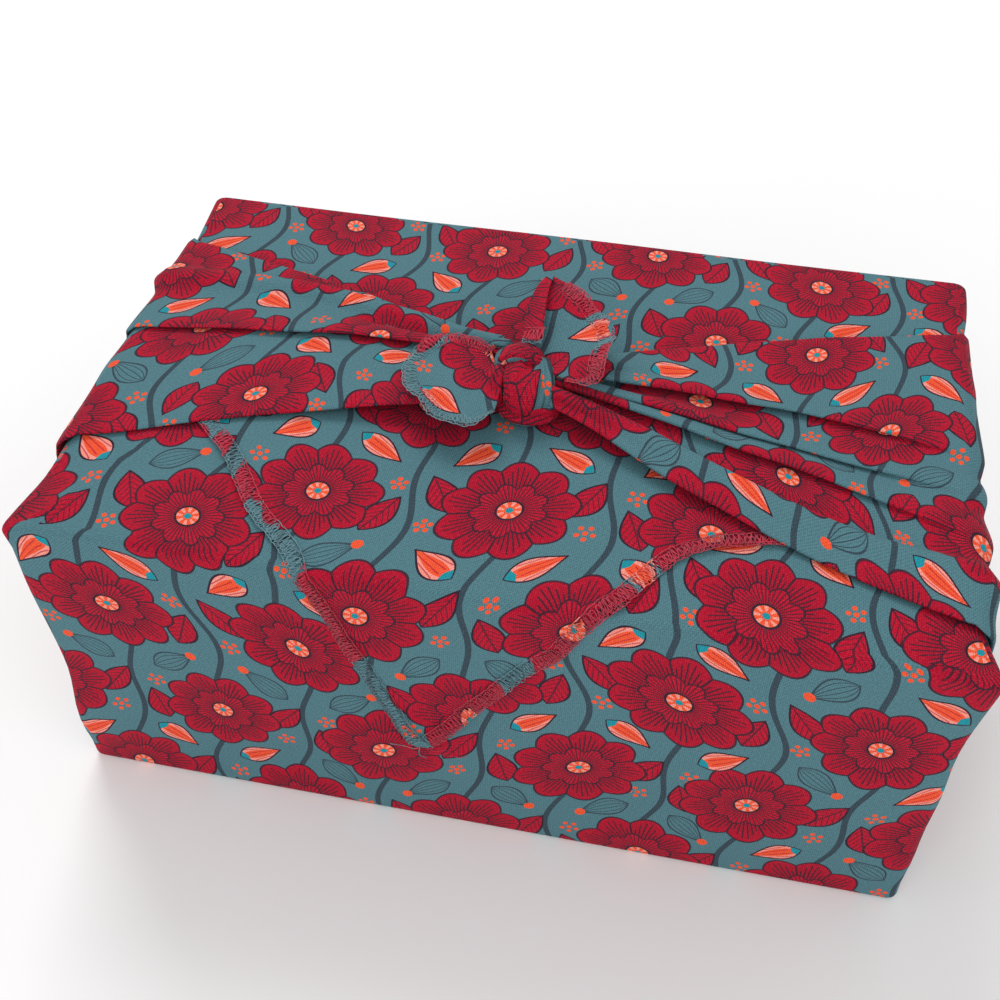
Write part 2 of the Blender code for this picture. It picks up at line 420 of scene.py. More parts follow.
@dataclass(frozen=True)
class Inks:
    """The print's colours, as linear light."""

    ground: tuple[float, ...] = (0.080, 0.190, 0.222, 1.0)
    crimson: tuple[float, ...] = (0.470, 0.003, 0.025, 1.0)
    deep: tuple[float, ...] = (0.255, 0.002, 0.018, 1.0)
    plum: tuple[float, ...] = (0.034, 0.012, 0.026, 1.0)
    slate: tuple[float, ...] = (0.036, 0.062, 0.082, 1.0)
    coral: tuple[float, ...] = (0.850, 0.090, 0.030, 1.0)
    pink: tuple[float, ...] = (0.880, 0.300, 0.240, 1.0)
    turquoise: tuple[float, ...] = (0.010, 0.270, 0.330, 1.0)


class Drawing:
    """A print built up ink by ink, each laid over what is there."""

    def __init__(self, board: Board, ground: Any) -> None:
        """Starts with the colour of the ground."""
        self.board = board
        self.colour = ground

    def lay(self, mask: Any, ink: Any) -> None:
        """Lays an ink where a mask says."""
        self.colour = self.board.colour_mix(mask, self.colour, ink)


@dataclass(frozen=True)
class FloralPrint:
    """An all-over print of round rosettes on leafy stems, with small blossoms and buds.

    Everything is in millimetres on the flat cloth. The rosettes stand on a staggered lattice,
    sprigs fill the gaps beside them, and blossoms and line-drawn buds fill the diagonals.
    """

    inks: Inks = Inks()
    column: float = 60.0
    row: float = 46.0
    rosette_radius: float = 21.3
    petals: int = 9
    ribs_in_petal: tuple[float, float] = (7.0, 5.0)
    stem_half_width: float = 1.0
    leaves: tuple[tuple[float, ...], ...] = (
        # x, y of the middle, heading, half length, half width
        (-7.8, 5.0, 114.0, 8.4, 4.6),
        (7.6, -5.4, 60.0, 8.8, 4.7),
    )
    berry_places: tuple[tuple[float, float], ...] = ((6.4, 8.6), (-6.6, -8.4))
    berry_count: int = 5
    blossom_half: tuple[float, float] = (8.9, 3.8)
    blossom_places: tuple[tuple[float, float], ...] = ((0.25, -36.0), (0.75, 36.0))
    repeat: int = 5

    def lattice(
        self, board: Board, u: Signal, v: Signal, pitch: tuple[float, float], seed: float
    ) -> list[Signal]:
        """Places on a lattice whose every second line is moved on by half a pitch.

        Args:
            board: The material's board.
            u: Place along the lattice's lines.
            v: Place across them.
            pitch: Spacing along a line, and of the lines.
            seed: Number that sets this lattice's draws apart.

        Returns:
            The place relative to the nearest point, and three numbers drawn for that point.
        """
        line = (v / pitch[1] + 0.5).floor()
        x = u - line.wrapped(2.0) * (pitch[0] / 2.0)
        post = (x / pitch[0] + 0.5).floor()
        spot = board.node(
            "ShaderNodeCombineXYZ",
            {},
            {0: post.wrapped(self.repeat), 1: line.wrapped(self.repeat + 1.0), 2: seed},
        ).outputs[0]
        draw = board.node("ShaderNodeTexWhiteNoise", {"noise_dimensions": "3D"}, {0: spot})
        split = board.node("ShaderNodeSeparateColor", {}, {0: draw.outputs[1]})
        near = [x - post * pitch[0], v - line * pitch[1]]
        return near + [Signal(board, split.outputs[i]) for i in range(3)]

    def off_rib(self, turn: Signal, far: Signal, count: float) -> Signal:
        """How far a point is from the nearest rib: the angle from it times the radius.

        Args:
            turn: Angle, in petals.
            far: Distance from the rosette's middle.
            count: Ribs in a petal.

        Returns:
            The distance.
        """
        return abs((turn * count).wrapped(1.0) - 0.5) * far * (TWO_PI / self.petals / count)

    def rosette(self, art: Drawing, u: Signal, v: Signal) -> None:
        """Rosettes of two rings of scalloped petals round a turquoise eye.

        A rim is the radius times a cosine of the angle within each petal.

        Args:
            art: The drawing.
            u: Place along the cloth.
            v: Place up the cloth.
        """
        inks = self.inks
        x, y, first, second, third = self.lattice(art.board, u, v, (self.column, self.row), 1.0)
        x = x - (first - 0.5) * 5.0
        y = y - (second - 0.5) * 1.6
        radius = third * 1.8 + (self.rosette_radius - 0.9)
        far = (x * x + y * y).root()
        angle = x.math("ARCTAN2", y, x) + first * 9.0
        share = far / radius
        outer_ribs, inner_ribs = self.ribs_in_petal

        turn = angle * (self.petals / TWO_PI)
        petal = turn - (turn + 0.5).floor()
        rim = (petal * math.pi).cosine() * 0.17 + 0.83
        inside = share < rim
        short_of_rim = (share * 1.06 + abs(petal) * 0.5) < rim
        ribs = (self.off_rib(turn, far, outer_ribs) < 0.25) * (share > 0.46) * short_of_rim
        edge = (0.5 - abs(petal)) * far * (TWO_PI / self.petals)
        seam = (edge < 0.36) * (share > 0.40)
        outline = abs(share - rim) * radius < 0.42
        art.lay(inside, art.board.colour_mix(share * 0.9, inks.deep, inks.crimson))
        art.lay(ribs * inside * 0.86, inks.plum)
        art.lay((seam * inside).most(outline) * 0.92, inks.plum)

        turn = turn + 0.5
        petal = turn - (turn + 0.5).floor()
        rim = (petal * math.pi).cosine() * 0.13 + 0.42
        inside = share < rim
        ribs = (self.off_rib(turn, far, inner_ribs) < 0.24) * (share > 0.2) * inside
        art.lay(inside, inks.crimson)
        art.lay((abs(share - rim) * radius < 0.40).most(ribs * 0.86) * 0.9, inks.plum)

        eye = share < 0.17
        seeds = ((angle * 8.0).cosine() > 0.1) * eye * (share > 0.08)
        art.lay(share < 0.205, inks.plum)
        art.lay(eye, inks.coral)
        art.lay(seeds, inks.pink)
        art.lay(share < 0.055, inks.turquoise)

    def leaf(self, art: Drawing, x: Signal, y: Signal, place: Sequence[float]) -> None:
        """One almond leaf, its half width falling with the square of the run along it.

        Args:
            art: The drawing.
            x: Place beside the sprig's middle.
            y: Place above the sprig's middle.
            place: A row of the leaves' table.
        """
        at_x, at_y, heading, half, wide = place
        along, across = (x - at_x).turned_by(y - at_y, heading)
        run = along / half
        width = (1.0 - run * run) * (1.0 + run * 0.28) * wide
        side = abs(across)
        inside = (side < width) * (abs(run) < 1.0)
        veins = abs((along - side * 1.1).wrapped(2.4) - 1.2) < 0.24
        art.lay(inside, self.inks.crimson)
        art.lay(veins.most(side < 0.30) * inside * 0.8, self.inks.plum)
        art.lay((abs(side - width) < 0.40) * (abs(run) < 1.05), self.inks.plum)

    def sprig(self, art: Drawing, u: Signal, v: Signal) -> None:
        """Slate stems that swing from side to side, with leaves and berries on them.

        Args:
            art: The drawing.
            u: Place along the cloth.
            v: Place up the cloth.
        """
        pitch = (2.0 * self.row, self.column / 2.0)
        y, x, first, second, _ = self.lattice(art.board, v - self.row, u, pitch, 2.0)
        swing = (y * (TWO_PI / self.row)).sine() * 2.2
        art.lay(abs(x - swing) < self.stem_half_width, self.inks.slate)
        mirrored = x * ((first > 0.5) * 2.0 - 1.0)
        for place in self.leaves:
            self.leaf(art, mirrored, y, place)
        for at_x, at_y in self.berry_places:
            self.berries(art, mirrored - at_x, y - at_y, second)

    def berries(self, art: Drawing, x: Signal, y: Signal, draw: Signal) -> None:
        """A ring of berries round one in the middle, by turning them all onto the nearest.

        Args:
            art: The drawing.
            x: Place beside the ring's middle.
            y: Place above the ring's middle.
            draw: A number for this ring, which sets its size and turn.
        """
        far = (x * x + y * y).root()
        turn = x.math("ARCTAN2", y, x) * (self.berry_count / TWO_PI) + draw * 3.0
        away = (turn - (turn + 0.5).floor()) * (TWO_PI / self.berry_count)
        ring = draw * 0.5 + 2.1
        square = far * far + ring * ring - far * ring * away.cosine() * 2.0
        art.lay((square < 0.72).most(far < 0.9), self.inks.coral)

    def blossom(self, art: Drawing, u: Signal, v: Signal) -> None:
        """Small striped tulips in a turquoise cup, or line-drawn buds in their place.

        Args:
            art: The drawing.
            u: Place along the cloth.
            v: Place up the cloth.
        """
        board, inks, pitch = art.board, self.inks, (self.column, self.row)
        half, wide = self.blossom_half
        for number, heading in self.blossom_places:
            at_u, at_v = u - self.column * number, v - self.row * 0.5
            x, y, first, second, _ = self.lattice(board, at_u, at_v, pitch, 3.0 + number)
            flip = (second > 0.5) * 2.0 - 1.0
            along, across = (x * flip).turned_by(y * flip, heading)
            side = abs(across)
            run = (along + 0.8) / half
            width = (1.0 - run * run) * (1.12 - run * 0.55) * wide
            inside = (side < width) * (abs(run) < 1.0)
            outline = (abs(side - width) < 0.34) * (abs(run) < 1.03)
            stripes = abs((side * (1.0 + run * 0.35)).wrapped(1.9) - 0.95) < 0.20
            cup = ((run + 1.0) * 2.6 + side * 0.10) < 1.05
            shown = first > 0.42
            petal = board.colour_mix((side - width * 0.52) < 0.0, inks.pink, inks.coral)
            petal = board.colour_mix(stripes * (run > -0.5) * 0.75, petal, inks.crimson)
            petal = board.colour_mix(cup, petal, inks.turquoise)
            art.lay(inside * shown, petal)
            bud_lines = abs((across / width.most(0.4) * 2.4).wrapped(1.0) - 0.5) * width < 0.36
            art.lay((1.0 - shown) * (inside * bud_lines).most(outline), inks.slate)
            art.lay(outline * shown, inks.plum)
            tip = (along - 7.8) * (along - 7.8) + across * across < 3.2
            art.lay(tip * (1.0 - shown), inks.coral)

    def draw(self, board: Board, u: Signal, v: Signal) -> Any:
        """The whole print, over coordinates swung a little so that no row is straight.

        Args:
            board: The material's board.
            u: Place along the cloth, in millimetres.
            v: Place up the cloth, in millimetres.

        Returns:
            The print's colour socket.
        """
        swung_u = u + (v * (TWO_PI / 131.0)).sine() * 4.2
        swung_v = v + (u * (TWO_PI / 157.0)).sine() * 4.4
        art = Drawing(board, self.inks.ground)
        for layer in (self.sprig, self.rosette, self.blossom):
            layer(art, swung_u, swung_v)
        return art.colour


@dataclass(frozen=True)
class PrintedCotton:
    """Fine printed cotton: the floral print, thread by thread unevenness and a plain weave."""

    artwork: FloralPrint = FloralPrint()
    thread_pitch: float = 0.86
    weave_strength: float = 0.55
    roughness: float = 0.80

    def material(self) -> bpy.types.Material:
        """Builds the material, reading the flat place from the cloth's UVs.

        Returns:
            The material.
        """
        board = Board("printed_cotton_looks")
        u, v = flat_place(board)
        colour = self.artwork.draw(board, u, v)
        weave, fleck = self.weave(board, u, v)
        colour = board.colour_mix(fleck, colour, (0.62, 0.66, 0.66, 1.0))
        # Painted shade: the print is darkened where the threads lie low, in the hollows of the weave,
        # on top of the bump's own shading; the slub noise in the same height adds random tone of the
        # yarn.
        weave_shade_and_tone = weave * 0.62 + 0.65
        weave_shade_and_tone_rgb = board.node("ShaderNodeCombineXYZ", {}, {0: weave_shade_and_tone, 1: weave_shade_and_tone, 2: weave_shade_and_tone}).outputs[0]
        board.feed("Base Color", board.colour_mix(1.0, colour, weave_shade_and_tone_rgb, "MULTIPLY"))
        board.feed("Roughness", weave * -0.08 + self.roughness)
        board.feed("Sheen Weight", 0.035)
        board.feed("Sheen Roughness", 0.4)
        board.feed("Specular IOR Level", 0.08)
        relief = board.node(
            "ShaderNodeBump",
            {},
            {"Strength": self.weave_strength, "Distance": 0.00018, "Height": weave},
        )
        board.feed("Normal", relief.outputs[0])
        return board.material

    def weave(self, board: Board, u: Signal, v: Signal) -> tuple[Signal, Signal]:
        """A twill's fine diagonal of threads: the product of two sines, with noise in it.

        Args:
            board: The material's board.
            u: Place along the cloth, in millimetres.
            v: Place up the cloth, in millimetres.

        Returns:
            The height of the threads, 0 to 1, and how much undyed fibre shows.
        """
        wave = TWO_PI / self.thread_pitch
        warp = ((u + v) * (wave * 0.7071)).sine()
        weft = ((u - v) * (wave * 0.7071)).sine()
        place = board.node("ShaderNodeCombineXYZ", {}, {0: u, 1: v, 2: 0.0}).outputs[0]
        slub = board.node(
            "ShaderNodeTexNoise",
            {"noise_dimensions": "2D"},
            {"Vector": place, "Scale": 1.35, "Detail": 3.0, "Roughness": 0.7},
        )
        uneven = Signal(board, slub.outputs[0])
        height = warp * weft * 0.30 + warp * 0.14 + uneven * 0.9 + 0.05
        fleck = (uneven - 0.50).most(0.0) * 0.10 + (warp * weft).most(0.0) * 0.014
        return height, fleck


def flat_place(board: Board) -> tuple[Signal, Signal]:
    """Where a point lies on the flat cloth, in millimetres, from the piece's own UVs.

    Args:
        board: The material's board.

    Returns:
        The two coordinates.
    """
    layer = board.node("ShaderNodeUVMap", {"uv_map": "cloth"}, {})
    split = board.node("ShaderNodeSeparateXYZ", {}, {0: layer.outputs[0]})
    return Signal(board, split.outputs[0]) * 1000.0, Signal(board, split.outputs[1]) * 1000.0


@dataclass(frozen=True)
class SergeThread:
    """The serging's fine thread, which takes up the colours of the print beneath it."""

    artwork: FloralPrint = FloralPrint(
        Inks(
            ground=(0.104, 0.232, 0.270, 1.0),
            crimson=(0.520, 0.010, 0.046, 1.0),
            deep=(0.480, 0.008, 0.040, 1.0),
            plum=(0.330, 0.010, 0.038, 1.0),
            slate=(0.075, 0.155, 0.185, 1.0),
        )
    )
    paleness: float = 0.015

    def material(self) -> bpy.types.Material:
        """Builds the material.

        Returns:
            The material.
        """
        board = Board("serge_thread_looks")
        u, v = flat_place(board)
        colour = self.artwork.draw(board, u, v)
        colour = board.colour_mix(self.paleness, colour, (0.50, 0.42, 0.44, 1.0))
        ply_ridges_and_glint = ((u * 5.1 + v * 4.3) * TWO_PI).sine() * 0.5 + 0.5
        # Painted highlight: the thread is lightened a little towards white along the ridges of its
        # twist, where light would catch; the same ridges are also made a little less rough.
        colour = board.colour_mix(ply_ridges_and_glint * 0.05, colour, (0.9, 0.9, 0.9, 1.0))
        board.feed("Base Color", colour)
        board.feed("Roughness", 0.7 - ply_ridges_and_glint * 0.1)
        board.feed("Sheen Weight", 0.14)
        board.feed("Specular IOR Level", 0.2)
        return board.material


# The bundle


@dataclass
class Bag:
    """The bottom and four sides, and the front corner turned in over the top.

    It is one closed shell of rings, each a rounded rectangle. The rings go out over the
    bottom, up the sides and in over the top.
    """

    half_x: float = LENGTH / 2 + 0.0006
    half_y: float = DEPTH / 2 + 0.0002
    level: float = TOP - 0.0017
    corner_radius: float = 0.0034
    bottom_radius: float = 0.0025
    rim_radius: float = 0.0030
    dished: float = 0.0026
    unevenness: float = 0.0005
    facet_ridge: tuple[tuple[float, float], ...] = ((-0.095, 0.1375), (-0.042, 0.1141))
    facet_slope: float = 0.17
    facet_crest: float = 0.0011
    bulge: float = 0.0022
    bulge_width: float = 0.018
    bulge_place: tuple[float, float] = (0.076, 0.112)
    corner_columns: int = 7
    long_columns: int = 76
    short_columns: int = 42
    wall_rings: int = 18
    bottom_rings: int = 6
    top_rings: int = 26
    back_seam: tuple[tuple[float, float], ...] = (
        (-0.146, 0.050),
        (-0.084, 0.033),
        (-0.027, 0.008),
        (0.000, -0.004),
        (0.030, 0.016),
        (0.087, 0.036),
        (0.146, 0.051),
    )

    def columns(self) -> tuple[Array, Array, Array]:
        """The outline's columns: shares of the inner rectangle and headings.

        Returns:
            The share of the half length, the share of the half depth, and the heading.
        """
        corner = np.linspace(0.0, math.pi / 2, self.corner_columns)
        quarter = ((1, -1, -90), (1, 1, 0), (-1, 1, 90), (-1, -1, 180))
        share_x, share_y, heading = [], [], []
        for number, (sx, sy, start) in enumerate(quarter):
            share_x.append(np.full(self.corner_columns, float(sx)))
            share_y.append(np.full(self.corner_columns, float(sy)))
            heading.append(corner + math.radians(start))
            nx, ny, _ = quarter[(number + 1) % 4]
            steps = self.short_columns if sx == nx else self.long_columns
            run = np.linspace(0.0, 1.0, steps + 2)[1:-1]
            share_x.append(sx + (nx - sx) * run)
            share_y.append(sy + (ny - sy) * run)
            heading.append(np.full(steps, math.radians(start + 90)))
        return np.concatenate(share_x), np.concatenate(share_y), np.concatenate(heading)

    def climbed(self) -> float:
        """Length run up a wall and round the rim, from the bottom's edge to the flat top."""
        straight = self.level - self.rim_radius - self.bottom_radius
        return straight + (self.rim_radius + self.bottom_radius) * math.pi / 2

    def inner_depth(self) -> float:
        """Half the depth of the flat part of the top."""
        return self.half_y - self.rim_radius

    def build(self) -> Patch:
        """Makes the shell.

        Returns:
            Its patch, with the print running up the front and back from the bottom.
        """
        share_x, share_y, heading = self.columns()
        bottom, wall = self.bottom_radius, self.rim_radius
        fold = np.radians(np.linspace(0.0, 90.0, 7))
        base = np.linspace(0.02, 1.0, self.bottom_rings)[:-1] - 1.0
        side = np.linspace(0.0, 1.0, self.wall_rings)[1:-1]
        roof = -0.98 * np.linspace(0.0, 1.0, self.top_rings)[1:] ** 1.5
        profile = (
            # inset, or share of the inner rectangle less 1, and height
            (base, 0.0 * base),
            (bottom * (1.0 - np.sin(fold)), bottom * (1.0 - np.cos(fold))),
            (0.0 * side, bottom + (self.level - wall - bottom) * side),
            (wall * (1.0 - np.cos(fold)), self.level - wall * (1.0 - np.sin(fold))),
            (roof, self.level + 0.0 * roof),
        )
        inset, height = (np.concatenate(part) for part in zip(*profile))
        region = np.repeat([0, 1, 2], [len(base), 2 * len(fold) + len(side), len(roof)])

        flat = region != 1
        shrink = np.where(flat, 1.0 + inset, 1.0)[:, None]
        pull = np.where(region == 0, bottom, np.where(region == 2, wall, inset))[:, None]
        reach_x = self.half_x - pull - self.corner_radius
        reach_y = self.half_y - pull - self.corner_radius
        x = shrink * (share_x * reach_x + self.corner_radius * np.cos(heading))
        y = shrink * (share_y * reach_y + self.corner_radius * np.sin(heading))
        z = np.broadcast_to(height[:, None], x.shape) + CLOTH_THICK / 2
        points = np.stack([x, y, z], -1)
        points = self.soften(points, np.cos(heading), np.sin(heading))

        rings, around = x.shape
        index = np.arange(rings * around).reshape(rings, around)
        after = np.roll(index, -1, axis=1)
        quads = np.stack([index[:-1], after[:-1], after[1:], index[1:]], -1)
        climb = np.zeros(len(inset))
        climb[region == 1] = lengths(np.stack([inset, height], -1)[region == 1])
        first, last = self.flat_places(x, y, climb[:, None] + 0 * x)
        corner_uv = np.stack([first[:-1], last[:-1], last[1:], first[1:]], -2)
        quad_points = points.reshape(-1, 3)[quads]
        behind = points[1:, :, 1] > np.interp(points[1:, :, 0], *np.array(self.back_seam).T)
        far = DEPTH / 2 + self.climbed() + self.inner_depth()
        reach = self.half_x - self.corner_radius
        over_u = quad_points[..., 0] * (reach / (reach - self.rim_radius))
        over_v = np.where(behind[..., None], far, -far) - quad_points[..., 1]
        here = region[1:, None, None, None]
        corner_uv = np.where(here == 2, np.stack([over_u, over_v], -1), corner_uv)
        corner_uv = np.where(here == 0, quad_points[..., :2], corner_uv)
        return Patch(points.reshape(-1, 3), quads.reshape(-1, 4), corner_uv.reshape(-1, 4, 2))

    def flat_places(self, x: Array, y: Array, z: Array) -> tuple[Array, Array]:
        """Flat places of the walls: the front's print is carried round the front corners,
        the back's round the back ones, and they meet in the middle of each end.

        Args:
            x: The ring points' x.
            y: Their y.
            z: Length run up the profile from the bottom's edge.

        Returns:
            The flat place of each point as the start of its quad, and as the end of the one
            before it.
        """
        around = x.shape[1]
        start = self.corner_columns + self.short_columns // 2
        half = self.corner_columns * 2 + self.short_columns + self.long_columns
        outline = np.stack([x, y], -1)[np.argmax(x[:, 0])]
        steps = np.linalg.norm(np.roll(outline, -1, axis=0) - outline, axis=-1)
        run = np.concatenate([[0.0], np.cumsum(steps)])
        column = np.arange(around)
        back = (column >= start) & (column < start + half)
        turned = np.where(column < start, 0.0, run[-1])
        corner = run[self.corner_columns // 2]
        middle = run[start + half // 2]

        def places(run_there: Array, climb: Array) -> Array:
            """Flat places of points at a run round the outline and a climb up the wall."""
            front_u = run_there - corner - turned + LENGTH / 2
            u = np.where(back, middle - run_there, front_u)
            v = np.where(back, DEPTH / 2 + climb, -DEPTH / 2 - climb)
            return np.stack([u + 0 * v, v], -1)

        return places(run[:-1], z), places(run[1:], z)

    def soften(self, points: Array, facing_x: Array, facing_y: Array) -> Array:
        """Lets the faces belly and ripple a little, and slopes the front top corners down.

        Args:
            points: The shell's points by rings and columns.
            facing_x: How far each column faces the right.
            facing_y: How far each column faces the back.

        Returns:
            The moved points.
        """
        x, y, z = points[..., 0], points[..., 1], points[..., 2]
        on_wall = ease(z / 0.02) * ease((self.level - z) / 0.012)
        out = (ripple(x + y, z, 5, 0.060) * self.unevenness - 0.0002) * on_wall
        moved = points.copy()
        moved[..., 0] += out * facing_x
        moved[..., 1] += out * facing_y
        ridge_x = np.interp(y, *np.array(self.facet_ridge).T)
        left = np.where(x < 0.0, 1.0, 0.35)
        beyond = np.clip(np.abs(x) - ridge_x, 0.0, 1.0) * ease((-0.050 - y) / 0.022)
        high = ease((z - 0.085) / 0.03)
        moved[..., 2] -= beyond * self.facet_slope * high * left
        crest = bump(np.abs(x) - ridge_x, 0.0022) * ease((-0.030 - y) / 0.02)
        moved[..., 2] += self.facet_crest * crest * high * left
        back_y, back_z = self.bulge_place
        bulge = np.hypot(np.hypot(x - self.half_x, y - back_y), z - back_z)
        moved[..., 0] += self.bulge * bump(bulge, self.bulge_width)
        spread = np.where(x < 0.0, 0.55, 1.0)
        beside = np.hypot(np.abs(x) - self.half_x, (y + self.half_y) * spread)
        corner = bump(np.hypot(beside, z - self.level), self.bulge_width)
        moved[..., 0] += self.bulge * corner * np.sign(x)
        moved[..., 1] -= 0.0008 * corner
        raised = ease(z / TOP * 1.6 - 0.6)
        wing_edge = np.where(y > 0.0, 0.060, np.where(x < 0.0, 0.0565, 0.078))
        full = 0.072 + (wing_edge - 0.072) * raised
        none = 0.088 + 0.0032 * raised
        end = ease((np.abs(x) - self.half_x + 0.006) / 0.004)
        end = end * np.clip((none - np.abs(y)) / (none - full), 0.0, 1.0)
        moved[..., 0] -= self.dished * end * np.sign(x)
        top = ease((z - self.level + 0.004) / 0.004)
        moved[..., 2] += ripple(x, y, 11, 0.09) * 0.00025 * top
        return moved


@dataclass
class Fold:
    """A line of control values along a wing.

    Its y is given at the foot, the rim, a third and two thirds of the way in, and the knot,
    and its lift at the rim, half-way in and the knot.
    """

    y: tuple[float, ...]
    lift: tuple[float, float, float]


@dataclass
class Pleat:
    """A knife pleat that fades to a soft ridge towards the rim.

    The edge's y is given as in a Fold. The tuck is how far the cloth goes under the edge a
    third and two thirds of the way in and at the knot; below nothing, the edge faces the back.
    """

    edge: tuple[float, ...]
    tuck: tuple[float, float, float]
    loft: tuple[float, float, float]
    at_rim: float = 0.0

    def folds(self) -> list[Fold]:
        """The control lines: in under, back out to the edge, and over.

        Returns:
            The lines, from front to back.
        """
        tuck = np.array((self.at_rim, self.at_rim) + self.tuck)
        facing = -1.0 if tuck.sum() < 0.0 else 1.0
        depth = np.abs(tuck)
        sharp = np.minimum(depth / 0.0020, 1.0)
        tucked = (0.5 * depth, depth, depth, -0.0006 + 0 * depth, -0.0006 + 0 * depth)
        tucked += (0.0022 + 0.25 * depth,)
        spread = (-0.0075, -0.0052, -0.0032, -0.0014, 0.0008, 0.0052)
        levels = (0.0, 0.0, 0.30, 0.62, 1.0, 0.95)
        lines = []
        for under, wide, level in zip(tucked, spread, levels):
            offset = facing * (sharp * under + (1.0 - sharp) * wide)
            lift = tuple(level * loft for loft in self.loft)
            lines.append(Fold(tuple(np.array(self.edge) + offset), lift))
        return lines if facing > 0.0 else lines[::-1]


def along_table(values: Array, run: Array) -> Array:
    """Reads rows of four values at runs 0, a third, two thirds and 1, with rounded corners.

    Each reading is the mean of five straight-line readings just before and after it.

    Args:
        values: The rows.
        run: Where they are read.

    Returns:
        The values by rows and places.
    """
    places = np.clip(run[None] + np.linspace(-0.13, 0.13, 5)[:, None], 0.0, 1.0)
    stops = np.linspace(0.0, 1.0, values.shape[1])
    return np.stack([np.interp(places, stops, row).mean(0) for row in values])


@dataclass
class Wing:
    """One end corner of the cloth: up the end, over the rim, and in to the knot in pleats."""

    side: Side
    lower: tuple[float, ...]
    upper: tuple[float, ...]
    pleats: tuple[Pleat | Fold, ...]
    knot_x: float
    foot: float = 0.0012
    rim_radius: float = 0.0042
    turned_under: float = 0.012
    rise: float = 0.0068
    rise_start: float = 0.110
    along: int = 78
    across: int = 98
    shift: float = 0.0

    def stations(self) -> tuple[Array, Array]:
        """The wing's run in its own plane, from the foot to the knot.

        Returns:
            The distance out from the bundle's middle and the height, at even steps.
        """
        outside = LENGTH / 2 + 0.0004
        turn = self.rim_radius
        angle = np.radians(np.linspace(0.0, 90.0, 12))
        foot_out = outside - 0.0012
        out = [foot_out, foot_out + 0.0005, outside - 0.0003, outside]
        up = [self.foot, 0.006, 0.022, 0.050]
        out += [outside, *(outside - turn * (1.0 - np.cos(angle)))]
        up += [TOP - turn - 0.03, *(TOP - turn * (1.0 - np.sin(angle)))]
        out += [outside - turn - 0.02, 0.070, 0.040, self.knot_x]
        up += [TOP, TOP, TOP, TOP]
        run = even_steps(np.stack([out, up], -1), self.along)
        return run[:, 0], run[:, 1]

    def control_lines(self) -> list[Fold]:
        """All control lines from the front edge to the back one, each edge turned under.

        Returns:
            The lines in order.
        """
        lines = [
            Fold(shifted(self.lower, self.turned_under), (-0.0005,) * 3),
            Fold(shifted(self.lower, 0.4 * self.turned_under), (-0.0005,) * 3),
            Fold(shifted(self.lower, -0.0004), (-0.0006,) * 3),
            Fold(shifted(self.lower, -0.0010), (0.0001, 0.0004, 0.0004)),
            Fold(shifted(self.lower, 0.0016), (0.0004, 0.0010, 0.0014)),
        ]
        for pleat in self.pleats:
            lines += pleat.folds() if isinstance(pleat, Pleat) else [pleat]
        lines += [
            Fold(shifted(self.upper, -0.0020), (0.0003, 0.0006, 0.0010)),
            Fold(shifted(self.upper, 0.0008), (0.0002, 0.0004, 0.0004)),
            Fold(shifted(self.upper, 0.0004), (-0.0005,) * 3),
            Fold(shifted(self.upper, -0.4 * self.turned_under), (-0.0005,) * 3),
            Fold(shifted(self.upper, -self.turned_under), (-0.0005,) * 3),
        ]
        return lines

    def build(self) -> Patch:
        """Makes the wing: at each station a B-spline runs through the control lines.

        A line's y goes straight from foot to rim, then along its table to the knot, and its
        lift, square to the path, along the parabola through its three values.

        Returns:
            The wing's patch.
        """
        out, up = self.stations()
        outside = LENGTH / 2
        climb = np.clip((up - self.foot) / (TOP - self.foot), 0.0, 1.0)
        inwards = np.clip((outside - out) / (outside - self.knot_x), 0.0, 1.0)
        lines = self.control_lines()
        table = np.array([line.y for line in lines])
        low, half, high = np.array([line.lift for line in lines])[..., None].swapaxes(0, 1)
        near_knot = ease((inwards - 0.72) / 0.28)
        foot, rim = table[:, :1], table[:, 1:2]
        y = np.where(
            climb < 0.999,
            foot + (rim - foot) * climb,
            along_table(table[:, 1:], inwards),
        )
        risen = ease(climb * 3.0 - 2.0)
        lift = through_three(low, half, high, inwards) * risen + low * (1.0 - risen) * 0.6
        weights = spline_weights(len(lines), self.across)
        y, lift = weights @ y, weights @ lift
        x = np.broadcast_to(out, y.shape)
        ahead = unit(np.gradient(np.stack([out, up], -1), axis=0))
        near = np.clip(1.0 - (out - self.knot_x) / self.rise_start, 0.0, 1.0)
        rise = self.rise * near**1.6
        crown = 1.0 - 0.12 * np.cos(math.pi * np.linspace(-1, 1, len(y)))[:, None]
        z = up - lift * ahead[:, 0] + rise * crown
        uneven = ripple(out[None] + 0 * y, y, 21 + self.side.value, 0.05) * 0.00022
        z = z + uneven * ease(climb * 8.0 - 7.0) * (1.0 - near_knot)
        points = np.stack([self.side.value * (x + lift * ahead[:, 1]), y, z], -1)
        points = points.transpose(1, 0, 2)
        return Patch.from_grid(points, self.flat_places(points))

    def flat_places(self, points: Array) -> Array:
        """Flat places: the run from the bottom's edge, and the length across each section.

        Args:
            points: The wing's points by stations and across.

        Returns:
            The flat places.
        """
        middle = points.shape[1] // 2
        along = lengths(points[:, middle])
        across = lengths(points, axis=1)
        across = across - across[:, middle][:, None] + points[0, middle, 1]
        u = self.side.value * (LENGTH / 2 + along)[:, None] + 0 * across
        return np.stack([u, across + self.shift], -1)


